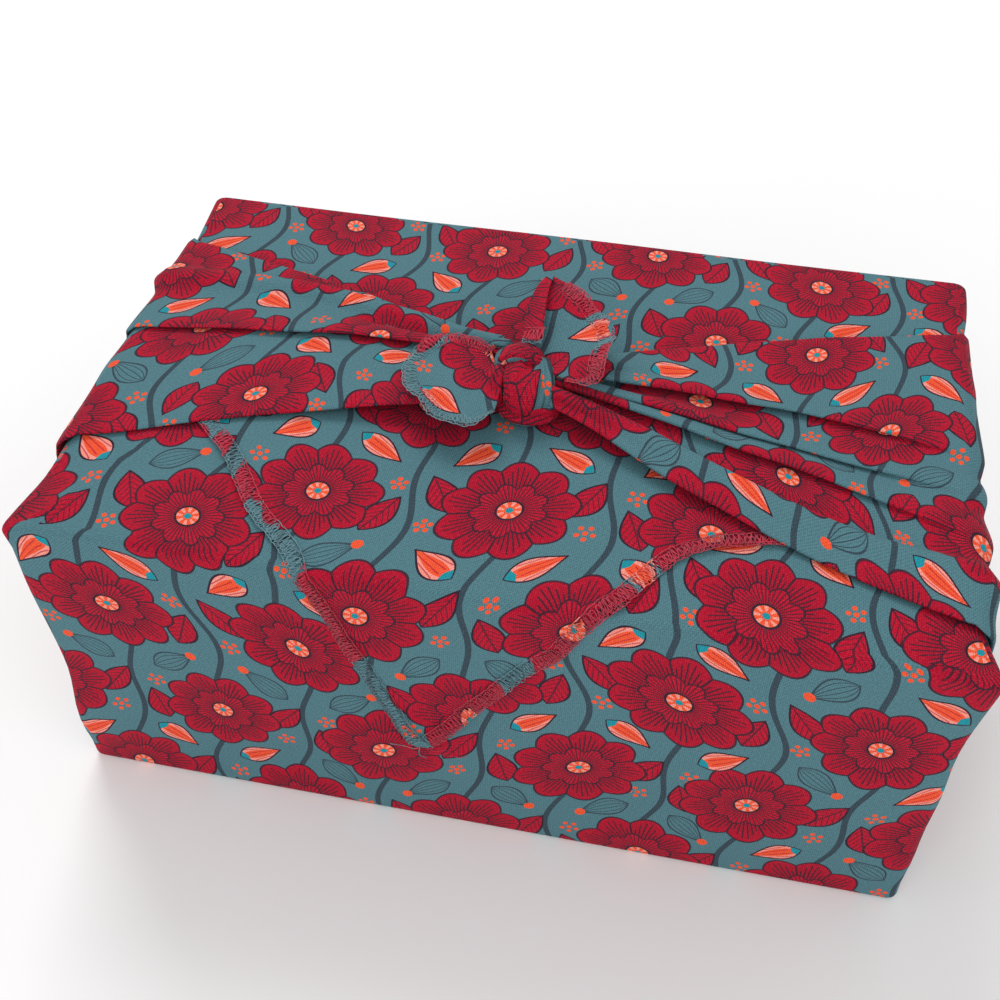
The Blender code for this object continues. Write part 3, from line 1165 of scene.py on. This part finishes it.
@dataclass
class Gusset:
    """The spare cloth beside a wing, laid flat against the end as a folded triangle."""

    side: Side
    edge: tuple[float, float]
    inner: float
    gap: float = 0.0006
    foot: float = 0.0040
    head: float = TOP - 0.0042
    rows: int = 18
    across: int = 20

    def build(self) -> Patch:
        """Makes the two layers, which turn round at the fold and end under the wing.

        The section is a narrow U: y runs from the inner line to the edge and back, and x
        crosses from one layer to the other within the turn.

        Returns:
            The gusset's patch.
        """
        height = np.linspace(0.0, 1.0, self.rows)[:, None]
        turn = np.linspace(-1.0, 1.0, self.across)[None]
        edge = self.edge[0] + (self.edge[1] - self.edge[0]) * height
        inner = edge + (self.inner - edge) * height
        away = np.sqrt(turn**2 + 0.0004) - 0.02
        y = edge + (inner - edge) * away
        out = LENGTH / 2 - 0.0010 + self.gap * turn / np.sqrt(turn**2 + 0.004)
        out = out - 0.0026 * ease((height - 0.90) / 0.09)
        x = self.side.value * (out + 0.0002 * np.sin(y * 90.0 + height * 4.0))
        z = self.foot + (self.head - self.foot) * height + 0 * x
        points = np.stack([x, y, z], -1)
        across = lengths(points, axis=1)
        uv = np.stack([self.side.value * (LENGTH / 2 + z), edge + across], -1)
        return Patch.from_grid(points, uv)


def shifted(values: tuple[float, ...], amount: float) -> tuple[float, ...]:
    """A line's values, all moved by the same amount."""
    return tuple(value + amount for value in values)


def through_three(first: Array, middle: Array, last: Array, run: Array) -> Array:
    """The parabola through three values at run 0, a half and 1.

    Args:
        first: Value at 0.
        middle: Value at a half.
        last: Value at 1.
        run: Where it is read.

    Returns:
        The values there.
    """
    return (
        first * (1.0 - run) * (1.0 - 2.0 * run)
        + 4.0 * middle * run * (1.0 - run)
        + last * run * (2.0 * run - 1.0)
    )


@dataclass
class Edge:
    """A serged edge: its line, the way into the cloth, the way up, and its flat places."""

    line: Array
    inward: Array
    up: Array
    uv: Array
    uv_inward: Array


def edge_of(points: Array, uv: Array) -> Edge:
    """Reads an edge from the first two columns of a grid.

    Args:
        points: The grid, whose first column is the edge.
        uv: The grid's flat places.

    Returns:
        The edge, with its up direction away from the cloth's underside.
    """
    line = points[:, 0]
    inward = unit(points[:, 1] - line)
    tangent = unit(np.gradient(line, axis=0))
    inward = unit(inward - tangent * (inward * tangent).sum(-1, keepdims=True))
    up = unit(np.cross(tangent, inward))
    up = up * np.sign((up * np.array([0.0, -0.35, 1.0])).sum(-1, keepdims=True) + 1e-9)
    return Edge(line, inward, up, uv[:, 0], unit(uv[:, 1] - uv[:, 0]))


@dataclass
class Flap:
    """The back corner of the cloth, over the top and down the front to its tip."""

    start_y: float = 0.012
    front: float = -DEPTH / 2 - 0.0010
    level: float = TOP - 0.0008
    turn: float = 0.0040
    rows: int = 108
    across: int = 54
    shows_from: tuple[float, float] = (0.052, 0.082)  # run at which each edge comes out
    left_edge: tuple[tuple[float, float], ...] = (
        # run from the start, x
        (0.0000, -0.1400),
        (0.0120, -0.1390),
        (0.0497, -0.1030),
        (0.0624, -0.0898),
        (0.0859, -0.0734),
        (0.0996, -0.0575),
        (0.1228, -0.0456),
        (0.1599, -0.0310),
        (0.1815, -0.0200),
    )
    right_edge: tuple[tuple[float, float], ...] = (
        (0.0000, 0.1400),
        (0.0450, 0.1300),
        (0.0610, 0.1060),
        (0.0659, 0.0878),
        (0.0690, 0.0700),
        (0.0769, 0.0560),
        (0.0894, 0.0471),
        (0.0978, 0.0429),
        (0.1070, 0.0342),
        (0.1260, 0.0239),
        (0.1360, 0.0140),
        (0.1480, 0.0070),
        (0.1640, -0.0040),
        (0.1815, -0.0165),
    )

    def build(self) -> tuple[Patch, list[Edge]]:
        """Makes the flap.

        Returns:
            Its patch, and its two serged edges.
        """
        turn = self.turn
        angle = np.radians(np.linspace(90.0, 180.0, 10))
        y = [self.start_y, *(self.front + turn + turn * np.cos(angle)), self.front]
        z = [self.level, *(self.level - turn + turn * np.sin(angle)), 0.0490]
        path = even_steps(np.stack([y, z], -1), self.rows)
        run = lengths(path)
        left_x = smooth_read(run, *np.array(self.left_edge).T)
        right_x = smooth_read(run, *np.array(self.right_edge).T)
        share = np.linspace(0.0, 1.0, self.across)
        share = share - 0.09 * np.sin(TWO_PI * share)
        x = left_x[:, None] + (right_x - left_x)[:, None] * share
        y = path[:, :1] + 0 * x
        z = path[:, 1:] + 0 * x
        hang = ease((run - 0.100) / 0.03)[:, None]
        edge_near = np.minimum(x - left_x[:, None], right_x[:, None] - x)
        wavy = ripple(x, y - z, 31, 0.020) * 0.00028 * bump(edge_near, 0.006)
        lifted = 0.0009 * bump(edge_near, 0.0055) + wavy
        lifted += 0.0016 * bump(edge_near, 0.012) * ease((run[:, None] - 0.155) / 0.02)
        shown = ease((run[:, None] - 0.046) / 0.014)
        lifted = lifted * shown
        crease = ripple(x, y - z, 8, 0.06) * 0.00018
        points = np.stack([x, y - (lifted + crease) * hang, z + (lifted + crease) * (1 - hang)], -1)
        behind = Bag().climbed() + Bag().inner_depth() - self.start_y
        uv = np.stack([x, DEPTH / 2 + behind + run[:, None] + 0 * x], -1)
        edges = [edge_of(points, uv), edge_of(points[:, ::-1], uv[:, ::-1])]
        return Patch.from_grid(points, uv), edges


def smooth_read(run: Array, stations: Array, values: Array) -> Array:
    """Reads a table along a run and rounds its corners with a short running mean.

    Args:
        run: Where it is read, at even steps.
        stations: The table's stations.
        values: Its values.

    Returns:
        The values along the run.
    """
    read = np.interp(run, stations, values)
    width = 2
    padded = np.concatenate(
        [read[0] + (read[0] - read[width:0:-1]), read, 2 * read[-1] - read[-2 : -width - 2 : -1]]
    )
    kernel = np.ones(2 * width + 1) / (2 * width + 1)
    return np.convolve(padded, kernel, "valid")


@dataclass
class Tail:
    """A short tail: a leaf of cloth spread out from a point in the knot, its rim serged."""

    root: tuple[float, float, float]
    rows: tuple[tuple[float, float, float], ...]
    flat_centre: tuple[float, float]
    flat_turn: float
    inner: float = 0.003
    hemmed: float = 1.0
    across: int = 50
    out: int = 24
    seed: int = 3

    def build(self) -> tuple[Patch, Edge]:
        """Makes the tail: rays of the given reach, with a cupped and wavy rim.

        Returns:
            The patch, and its serged rim.
        """
        direction, reach, height = smooth_through(np.array(self.rows), self.across).T
        heading = np.radians(direction)[:, None]
        share = np.linspace(0.0, 1.0, self.out)
        radius = self.inner + (reach[:, None] - self.inner) * share
        x = self.root[0] + radius * np.cos(heading)
        y = self.root[1] + radius * np.sin(heading)
        wave = np.sin(heading * 13.0 + self.seed) * 0.0007 * share**3
        crease = ripple(x, y, self.seed, 0.018) * 0.00035 * ease(share * 3.0)
        cup = 0.0016 * share**4
        z = self.root[2] + height[:, None] * ease(share) + wave + crease + cup
        points = np.stack([x, y, z], -1)
        turn = heading + math.radians(self.flat_turn)
        uv = np.stack(
            [
                self.flat_centre[0] + radius * np.cos(turn),
                self.flat_centre[1] + radius * np.sin(turn),
            ],
            -1,
        )
        kept = int(self.hemmed * self.across)
        return Patch.from_grid(points, uv), edge_of(points[:kept, ::-1], uv[:kept, ::-1])


@dataclass
class Turnover:
    """The right tail's hemmed edge, folded over on itself into a narrow strip."""

    fold: tuple[tuple[float, float, float], ...] = (
        (-0.0016, 0.0365, 0.1470),
        (-0.0043, 0.0281, 0.1468),
        (-0.0051, 0.0195, 0.1461),
        (-0.0052, 0.0113, 0.1448),
        (-0.0044, 0.0041, 0.1432),
    )
    free: tuple[tuple[float, float, float], ...] = (
        (0.0004, 0.0352, 0.1471),
        (0.0000, 0.0261, 0.1470),
        (0.0008, 0.0151, 0.1464),
        (0.0016, 0.0055, 0.1452),
        (0.0022, 0.0030, 0.1446),
    )
    share: tuple[float, ...] = (0.20, 0.06, -0.04, 0.0, 0.12, 0.28, 0.46, 0.64, 0.82, 1.0)
    height: tuple[float, ...] = (-0.1, 0.0, 0.25, 0.5, 0.62, 0.66, 0.62, 0.60, 0.66, 0.60)
    flat_place: tuple[float, float] = (0.428, 0.021)
    rows: int = 34

    def build(self) -> tuple[Patch, Edge]:
        """Makes the strip: it turns up round the fold and lies back on the tail.

        Returns:
            The patch, and its serged lower end.
        """
        fold = smooth_through(np.array(self.fold), self.rows)[:, None]
        free = smooth_through(np.array(self.free), self.rows)[:, None]
        share, height = np.array(self.share)[:, None], np.array(self.height) * 0.001
        points = fold + (free - fold) * share
        wave = np.sin(np.linspace(0.0, 15.0, self.rows))[:, None] * 0.00022 * np.clip(share.T, 0, 1)
        points[..., 2] += height + wave
        uv = np.stack(
            [
                self.flat_place[0] + lengths(points, axis=1),
                self.flat_place[1] - lengths(points, axis=0),
            ],
            -1,
        )
        lower, lower_uv = points.swapaxes(0, 1), uv.swapaxes(0, 1)
        return Patch.from_grid(points, uv), edge_of(lower[::-1, ::-1], lower_uv[::-1, ::-1])


@dataclass
class Wrap:
    """One turn of the knot: a flattened tube along a path, with creases along it."""

    path: tuple[tuple[float, float, float], ...]
    half_wide: tuple[float, ...]
    half_thick: tuple[float, ...]
    flat_place: tuple[float, float]
    facing: tuple[float, float, float] = (0.0, 0.0, 1.0)
    creases: float = 0.00085
    seed: int = 1
    along: int = 28
    around: int = 30

    def build(self) -> Patch:
        """Makes the turn: an oval section carried along the path, closed at both ends.

        The oval's edge is moved in and out by a few waves round it that drift along it.

        Returns:
            The patch.
        """
        line = smooth_through(np.array(self.path), self.along)
        tangent = unit(np.gradient(line, axis=0))
        outward = unit(unit(line - np.array(KNOT_MIDDLE)) + 0.6 * np.array(self.facing))
        across = unit(np.cross(tangent, outward))
        normal = np.cross(across, tangent)
        share = np.linspace(0.0, 1.0, self.along)
        knots = np.linspace(0.0, 1.0, len(self.half_wide))
        wide = np.interp(share, knots, self.half_wide)[:, None]
        thick = np.interp(share, knots, self.half_thick)[:, None]
        end = np.sqrt(np.clip(1.0 - (2.0 * share - 1.0) ** 8, 0.0, 1.0))[:, None]
        turn = np.linspace(0.0, TWO_PI, self.around + 1)[None]
        waves = np.sin(3 * turn + 2.2 * share[:, None] + self.seed)
        finer = np.sin(5 * turn - 3.0 * share[:, None] + 2 * self.seed)
        crease = (0.6 - np.abs(waves) + 0.5 * (0.6 - np.abs(finer))) * self.creases
        side = (wide + crease) * end * np.sign(np.cos(turn)) * np.abs(np.cos(turn)) ** 0.8
        lift = (thick + 1.6 * crease) * end * np.sin(turn)
        points = (
            line[:, None] + across[:, None] * side[..., None] + normal[:, None] * lift[..., None]
        )
        points[:, -1] = points[:, 0]
        girth = lengths(points, axis=1)
        uv = np.stack(
            [
                self.flat_place[0] + girth + 0 * share[:, None],
                self.flat_place[1] + lengths(line)[:, None] + 0 * girth,
            ],
            -1,
        )
        return Patch.from_grid(points, uv)


KNOT_MIDDLE = (-0.003, -0.008, 0.1330)


@dataclass
class Serging:
    """Overlock stitching: loops over the edge, a zigzag, and a line of needle stitches."""

    band: float = 0.0045
    pitch: float = 0.0017
    thread: float = 0.00017
    sides: int = 4
    steps: int = 10
    seed: int = 17
    loose: tuple[tuple[tuple[float, float, float], ...], ...] = (
        ((-0.0180, -0.0945, 0.0500), (-0.0200, -0.0960, 0.0480), (-0.0240, -0.0962, 0.0488),
         (-0.0290, -0.0950, 0.0468)),
        ((-0.0175, -0.0945, 0.0500), (-0.0150, -0.0958, 0.0470), (-0.0100, -0.0962, 0.0476),
         (-0.0050, -0.0952, 0.0462), (-0.0030, -0.0946, 0.0470)),
        ((-0.0185, -0.0945, 0.0495), (-0.0188, -0.0962, 0.0455), (-0.0165, -0.0958, 0.0432)),
        ((-0.0172, -0.0945, 0.0498), (-0.0140, -0.0964, 0.0492), (-0.0095, -0.0958, 0.0500)),
    )

    def tube(self, line: Array, uv: Array, radius: float) -> Patch:
        """A thin round tube along a line.

        Args:
            line: The line's points.
            uv: The flat place of each point.
            radius: The tube's radius.

        Returns:
            The tube's patch.
        """
        tangent = unit(np.gradient(line, axis=0))
        first = unit(np.cross(tangent, np.array([0.31, 0.17, 0.93])))
        second = np.cross(tangent, first)
        turn = np.linspace(0.0, TWO_PI, self.sides + 1)[None, :, None]
        points = line[:, None] + radius * (
            first[:, None] * np.cos(turn) + second[:, None] * np.sin(turn)
        )
        return Patch.from_grid(points, np.repeat(uv[:, None], self.sides + 1, axis=1))

    def place(self, edge: Edge, along: Array, inward: Array, up: Array) -> tuple[Array, Array]:
        """Points given in the edge's own coordinates.

        Args:
            edge: The edge.
            along: Length along it.
            inward: Distance into the cloth.
            up: Height above it.

        Returns:
            The points, and their flat places.
        """
        run = lengths(edge.line)
        read: Callable[[Array], Array] = lambda table: np.stack(
            [np.interp(along, run, column) for column in table.T], -1
        )
        inside, above = inward[:, None], up[:, None]
        line = read(edge.line) + unit(read(edge.inward)) * inside + unit(read(edge.up)) * above
        return line, read(edge.uv) + read(edge.uv_inward) * inside

    def loose_ends(self) -> Patch:
        """The cut thread ends that hang from the flap's tip.

        Returns:
            The threads as one patch.
        """
        tubes = []
        for points in self.loose:
            line = smooth_through(np.array(points), 30)
            uv = np.stack([line[:, 0], 0.430 - line[:, 2]], -1)
            tubes.append(self.tube(line, uv, self.thread * 0.9))
        return merged(tubes)

    def stitches(self, edge: Edge, start: float = 0.0) -> Patch:
        """All threads along one edge.

        The upper looper swings between the edge and the needle line as a cosine, with small
        loops at both ends. The lower looper binds the edge with rings, and the needle thread
        is a row of short arcs.

        Args:
            edge: The edge.
            start: Length along the edge at which the stitching begins to show.

        Returns:
            The threads as one patch.
        """
        draw = np.random.default_rng(self.seed)
        total = lengths(edge.line)[-1]
        count = int((total - start) / self.pitch)
        run = np.arange(count * self.steps + 1) / self.steps
        loose = draw.normal(0.0, 1.0, (4, count + 2))
        uneven = [np.interp(run, np.arange(count + 2), row) for row in loose]
        phase = TWO_PI * run
        along = start + run * self.pitch
        limit = total - 1e-5

        swing = 0.5 + 0.5 * np.cos(phase)
        upper_in = -0.0005 + (self.band + 0.0004 * uneven[0]) * swing
        upper_along = along + 0.00055 * np.sin(2 * phase) + 0.0003 * uneven[1]
        upper_up = 0.00036 + 0.00012 * np.sin(phase) ** 2 + 0.00003 * uneven[2]
        threads = [(upper_along, upper_in, upper_up)]

        second_in = -0.0003 + (0.86 * self.band + 0.0005 * uneven[3]) * (1.0 - swing)
        second_along = along + 0.0007 * np.sin(phase + 0.9) + 0.0003 * uneven[0]
        threads.append((second_along, second_in, 0.00028 + 0.00003 * np.abs(uneven[1])))

        loop_in = -0.00055 - (0.00062 + 0.00022 * uneven[2]) * np.cos(phase)
        loop_along = along + 0.00095 * np.sin(phase)
        threads.append((loop_along, loop_in, 0.00025 * np.sin(phase * 0.5 + uneven[3])))

        needle_in = self.band + 0.00012 * uneven[1]
        threads.append((along, needle_in, 0.00012 + 0.00018 * np.abs(np.sin(phase / 2))))

        patches = []
        for place_along, place_in, place_up in threads:
            place_along = np.clip(place_along, 0.0, limit)
            line, uv = self.place(edge, place_along, place_in, place_up)
            patches.append(self.tube(line, uv, self.thread))
        return merged(patches)


@dataclass
class Studio:
    """The plain pale floor, the soft lights and the camera."""

    eye: tuple[float, float, float] = (0.05175, -0.31868, 0.40452)
    look: tuple[float, float, float] = (-0.13490, 0.68437, -0.71655)
    roll: float = 0.37
    lens: float = 45.57
    floor_colour: tuple[float, ...] = (0.93, 0.93, 0.93, 1.0)
    lights: tuple[tuple[str, tuple[float, float, float], float, float], ...] = (
        # name, place, size, power
        ("key_light", (-0.95, 1.65, 2.40), 1.3, 38.0),
        ("fill_light", (1.90, -1.50, 2.10), 2.4, 13.0),
        ("front_light", (-0.50, -2.50, 1.70), 2.4, 30.0),
    )

    def build(self) -> None:
        """Sets up the camera, the lights, the world and the floor."""
        data = bpy.data.cameras.new("studio_camera")
        data.lens = self.lens
        data.sensor_width = 36.0
        data.clip_start = 0.01
        camera = bpy.data.objects.new("studio_camera", data)
        camera.location = self.eye
        aim = Vector(self.look).to_track_quat("-Z", "Y")
        camera.rotation_mode = "QUATERNION"
        camera.rotation_quaternion = aim
        camera.rotation_mode = "XYZ"
        camera.rotation_euler.rotate_axis("Z", math.radians(self.roll))
        bpy.context.scene.collection.objects.link(camera)
        bpy.context.scene.camera = camera
        bpy.context.scene.view_settings.view_transform = "Standard"
        for name, place, size, power in self.lights:
            self.light(name, place, size, power)
        world = bpy.data.worlds.new("studio_world")
        world.use_nodes = True
        background = world.node_tree.nodes["Background"]
        background.inputs[0].default_value = (1.0, 1.0, 1.0, 1.0)
        background.inputs[1].default_value = 0.58
        bpy.context.scene.world = world
        self.floor()

    def light(self, name: str, place: Sequence[float], size: float, power: float) -> None:
        """Adds a square soft light aimed at the bundle.

        Args:
            name: Its name.
            place: Where it stands.
            size: Its side.
            power: Its power in watts.
        """
        data = bpy.data.lights.new(name, "AREA")
        data.size = size
        data.energy = power
        lamp = bpy.data.objects.new(name, data)
        lamp.location = place
        aim = Vector((0.0, 0.0, 0.05)) - Vector(place)
        lamp.rotation_euler = aim.to_track_quat("-Z", "Y").to_euler()
        bpy.context.scene.collection.objects.link(lamp)

    def floor(self) -> None:
        """Adds the floor, a wide flat square just under the bundle."""
        corners = np.array([[[-4, -4, 0], [4, -4, 0]], [[-4, 4, 0], [4, 4, 0]]], float)
        floor = mesh_object("studio_floor", Patch.from_grid(corners, corners[..., :2]))
        board = Board("studio_floor_looks")
        board.feed("Base Color", self.floor_colour)
        board.feed("Roughness", 0.9)
        floor.data.materials.append(board.material)


@dataclass
class FuroshikiWrap:
    """The whole wrap: the cloth as one folded sheet, and its serging."""

    bag: Bag = field(default_factory=Bag)
    flap: Flap = field(default_factory=Flap)
    wings: tuple[Wing, ...] = (
        Wing(
            Side.LEFT,
            lower=(-0.0880, -0.0555, -0.0365, -0.0250, -0.0170),
            upper=(0.0880, 0.0590, 0.0470, 0.0310, 0.0085),
            pleats=(
                Fold((-0.060, -0.038, -0.0240, -0.0150, -0.0130), (0.0003, 0.0012, 0.0040)),
                Fold((-0.042, -0.027, -0.0150, -0.0090, -0.0105), (0.0001, 0.0004, 0.0024)),
                Fold((-0.028, -0.018, -0.0070, -0.0040, -0.0085), (0.0007, 0.0016, 0.0044)),
                Fold((-0.014, -0.009, -0.0010, 0.0010, -0.0050), (0.0004, 0.0009, 0.0024)),
                Pleat(
                    (0.005, 0.003, 0.0080, 0.0105, 0.0010),
                    (0.0060, 0.0100, 0.0030),
                    (0.0018, 0.0032, 0.0056),
                    at_rim=0.0026,
                ),
                Fold((0.030, 0.021, 0.0240, 0.0200, 0.0040), (0.0001, 0.0006, 0.0026)),
                Pleat(
                    (0.045, 0.031, 0.0365, 0.0250, 0.0055),
                    (0.0003, 0.0003, 0.0006),
                    (0.0032, 0.0030, 0.0046),
                ),
                Fold((0.058, 0.040, 0.0400, 0.0275, 0.0070), (0.0002, 0.0008, 0.0024)),
            ),
            knot_x=0.012,
        ),
        Wing(
            Side.RIGHT,
            lower=(-0.0880, -0.0770, -0.0613, -0.0395, -0.0120),
            upper=(0.0880, 0.0595, 0.0461, 0.0290, 0.0060),
            pleats=(
                Fold((-0.080, -0.069, -0.0555, -0.0345, -0.0112), (0.0003, 0.0008, 0.0018)),
                Pleat(
                    (-0.064, -0.0550, -0.0470, -0.0260, -0.0090),
                    (-0.0014, -0.0070, -0.0026),
                    (0.0030, 0.0036, 0.0052),
                ),
                Pleat(
                    (-0.055, -0.0430, -0.0270, -0.0165, -0.0065),
                    (0.0040, 0.0050, 0.0016),
                    (0.0020, 0.0030, 0.0054),
                ),
                Pleat(
                    (-0.030, -0.0225, -0.0165, -0.0105, -0.0045),
                    (0.0034, 0.0060, 0.0016),
                    (0.0016, 0.0028, 0.0054),
                ),
                Fold((-0.018, -0.013, -0.0040, -0.0045, -0.0034), (0.0001, 0.0006, 0.0026)),
                Pleat(
                    (-0.009, -0.0060, 0.0030, 0.0010, -0.0022),
                    (0.0050, 0.0080, 0.0016),
                    (0.0018, 0.0032, 0.0054),
                ),
                Fold((0.030, 0.0200, 0.0180, 0.0110, 0.0008), (0.0001, 0.0006, 0.0020)),
                Fold((0.044, 0.0290, 0.0240, 0.0150, 0.0020), (0.0012, 0.0016, 0.0040)),
                Fold((0.058, 0.0380, 0.0300, 0.0200, 0.0032), (0.0001, 0.0006, 0.0018)),
            ),
            knot_x=0.006,
            shift=0.012,
        ),
    )
    tails: tuple[Tail, ...] = (
        Tail(
            (-0.008, -0.009, 0.1385),
            (
                # direction in degrees, reach, height of the end over the root
                (124, 0.0110, 0.0006),
                (138, 0.0190, 0.0012),
                (148, 0.0255, 0.0008),
                (162, 0.0300, 0.0000),
                (175, 0.0320, -0.0008),
                (197, 0.0320, -0.0014),
                (216, 0.0296, -0.0010),
                (237, 0.0282, -0.0016),
                (257, 0.0232, -0.0024),
                (270, 0.0185, -0.0026),
            ),
            (-0.414, -0.012),
            0.0,
            seed=3,
        ),
        Tail(
            (0.000, -0.002, 0.1395),
            (
                (-33, 0.0150, 0.0000),
                (-24, 0.0236, 0.0026),
                (-10, 0.0232, 0.0044),
                (2, 0.0228, 0.0050),
                (18, 0.0254, 0.0050),
                (49, 0.0290, 0.0040),
                (68, 0.0322, 0.0050),
                (84, 0.0368, 0.0058),
                (92, 0.0385, 0.0056),
                (97, 0.0320, 0.0054),
                (103, 0.0205, 0.0040),
                (112, 0.0110, 0.0018),
            ),
            (0.450, 0.006),
            20.0,
            seed=5,
            hemmed=0.80,
        ),
    )
    wraps: tuple[Wrap, ...] = (
        Wrap(
            ((-0.0010, 0.001, 0.1365), (-0.0010, -0.006, 0.1403), (-0.0006, -0.0130, 0.1402),
             (0.0000, -0.0180, 0.1368), (0.0005, -0.0198, 0.1315)),
            (0.0056, 0.0064, 0.0066, 0.0062, 0.0048),
            (0.0022, 0.0026, 0.0026, 0.0024, 0.0020),
            (0.343, 0.120),
            seed=2,
        ),
        Wrap(
            ((-0.0118, -0.0040, 0.1372), (-0.0085, -0.0022, 0.1412), (-0.0040, -0.0016, 0.1430),
             (0.0005, -0.0022, 0.1418), (0.0032, -0.0040, 0.1375)),
            (0.0034, 0.0052, 0.0058, 0.0052, 0.0034),
            (0.0018, 0.0022, 0.0024, 0.0022, 0.0018),
            (0.262, -0.065),
            creases=0.0006,
            seed=4,
        ),
        Wrap(
            ((0.0020, 0.0020, 0.1385), (0.0046, -0.0050, 0.1408), (0.0064, -0.0120, 0.1390),
             (0.0070, -0.0165, 0.1340)),
            (0.0018, 0.0026, 0.0026, 0.0018),
            (0.0012, 0.0014, 0.0014, 0.0012),
            (0.205, 0.064),
            creases=0.0004,
            seed=6,
        ),
        Wrap(
            ((-0.0088, -0.0120, 0.1330), (-0.0052, -0.0172, 0.1325), (0.0010, -0.0186, 0.1320),
             (0.0068, -0.0160, 0.1320), (0.0105, -0.0110, 0.1325)),
            (0.0024, 0.0036, 0.0040, 0.0036, 0.0024),
            (0.0018, 0.0024, 0.0026, 0.0024, 0.0018),
            (0.150, -0.140),
            seed=9,
        ),
        Wrap(
            ((-0.0062, 0.0005, 0.1360), (-0.0098, -0.0055, 0.1385), (-0.0108, -0.0125, 0.1375),
             (-0.0085, -0.0178, 0.1328)),
            (0.0022, 0.0034, 0.0036, 0.0026),
            (0.0016, 0.0020, 0.0020, 0.0016),
            (0.331, 0.131),
            creases=0.0006,
            seed=12,
        ),
        Wrap(
            ((-0.0180, 0.0030, 0.1350), (-0.0142, 0.0066, 0.1380), (-0.0085, 0.0060, 0.1395)),
            (0.0016, 0.0032, 0.0024),
            (0.0010, 0.0014, 0.0012),
            (0.120, 0.210),
            creases=0.0004,
            seed=15,
        ),
    )
    gussets: tuple[Gusset, ...] = (
        Gusset(Side.LEFT, (-0.0890, -0.0640), -0.002),
        Gusset(Side.LEFT, (0.0890, 0.0660), 0.002),
        Gusset(Side.RIGHT, (-0.0890, -0.0800), -0.002),
        Gusset(Side.RIGHT, (0.0890, 0.0680), 0.002),
    )
    turnover: Turnover = field(default_factory=Turnover)
    serging: Serging = field(default_factory=Serging)

    def build(self) -> None:
        flap, flap_edges = self.flap.build()
        gathered = [piece.build() for piece in (*self.wings, *self.gussets)]
        leaves, leaf_edges = zip(*[piece.build() for piece in (*self.tails, self.turnover)])
        turns = [wrap.build() for wrap in self.wraps]
        cloth = merged([self.bag.build(), flap, *gathered, *leaves, *turns])
        sheet = mesh_object("folded_cloth", cloth)
        sheet.data.materials.append(PrintedCotton().material())
        solidify = sheet.modifiers.new("thickness", "SOLIDIFY")
        solidify.thickness = CLOTH_THICK
        solidify.offset = 0.0
        self.settle(sheet)
        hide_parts("furoshiki_cloth")

        edges = (*flap_edges, *leaf_edges)
        starts = (*self.flap.shows_from, *(0.0 for _ in leaf_edges))
        threads = [self.serging.stitches(edge, start) for edge, start in zip(edges, starts)]
        serge = mesh_object("serged_edges", merged([*threads, self.serging.loose_ends()]))
        serge.data.materials.append(SergeThread().material())
        self.settle(serge)

    def settle(self, piece: bpy.types.Object) -> None:
        """Makes a piece ride on the wrap and logs its face count.

        Args:
            piece: The piece.
        """
        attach(piece, "root")
        LOG.info("%s: %d faces", piece.name, len(piece.data.polygons))


def main() -> None:
    """Builds the studio and the wrap."""
    logging.basicConfig(level=logging.INFO, format="%(name)s: %(message)s")
    Studio().build()
    FuroshikiWrap().build()


if __name__ == "__main__":
    main()
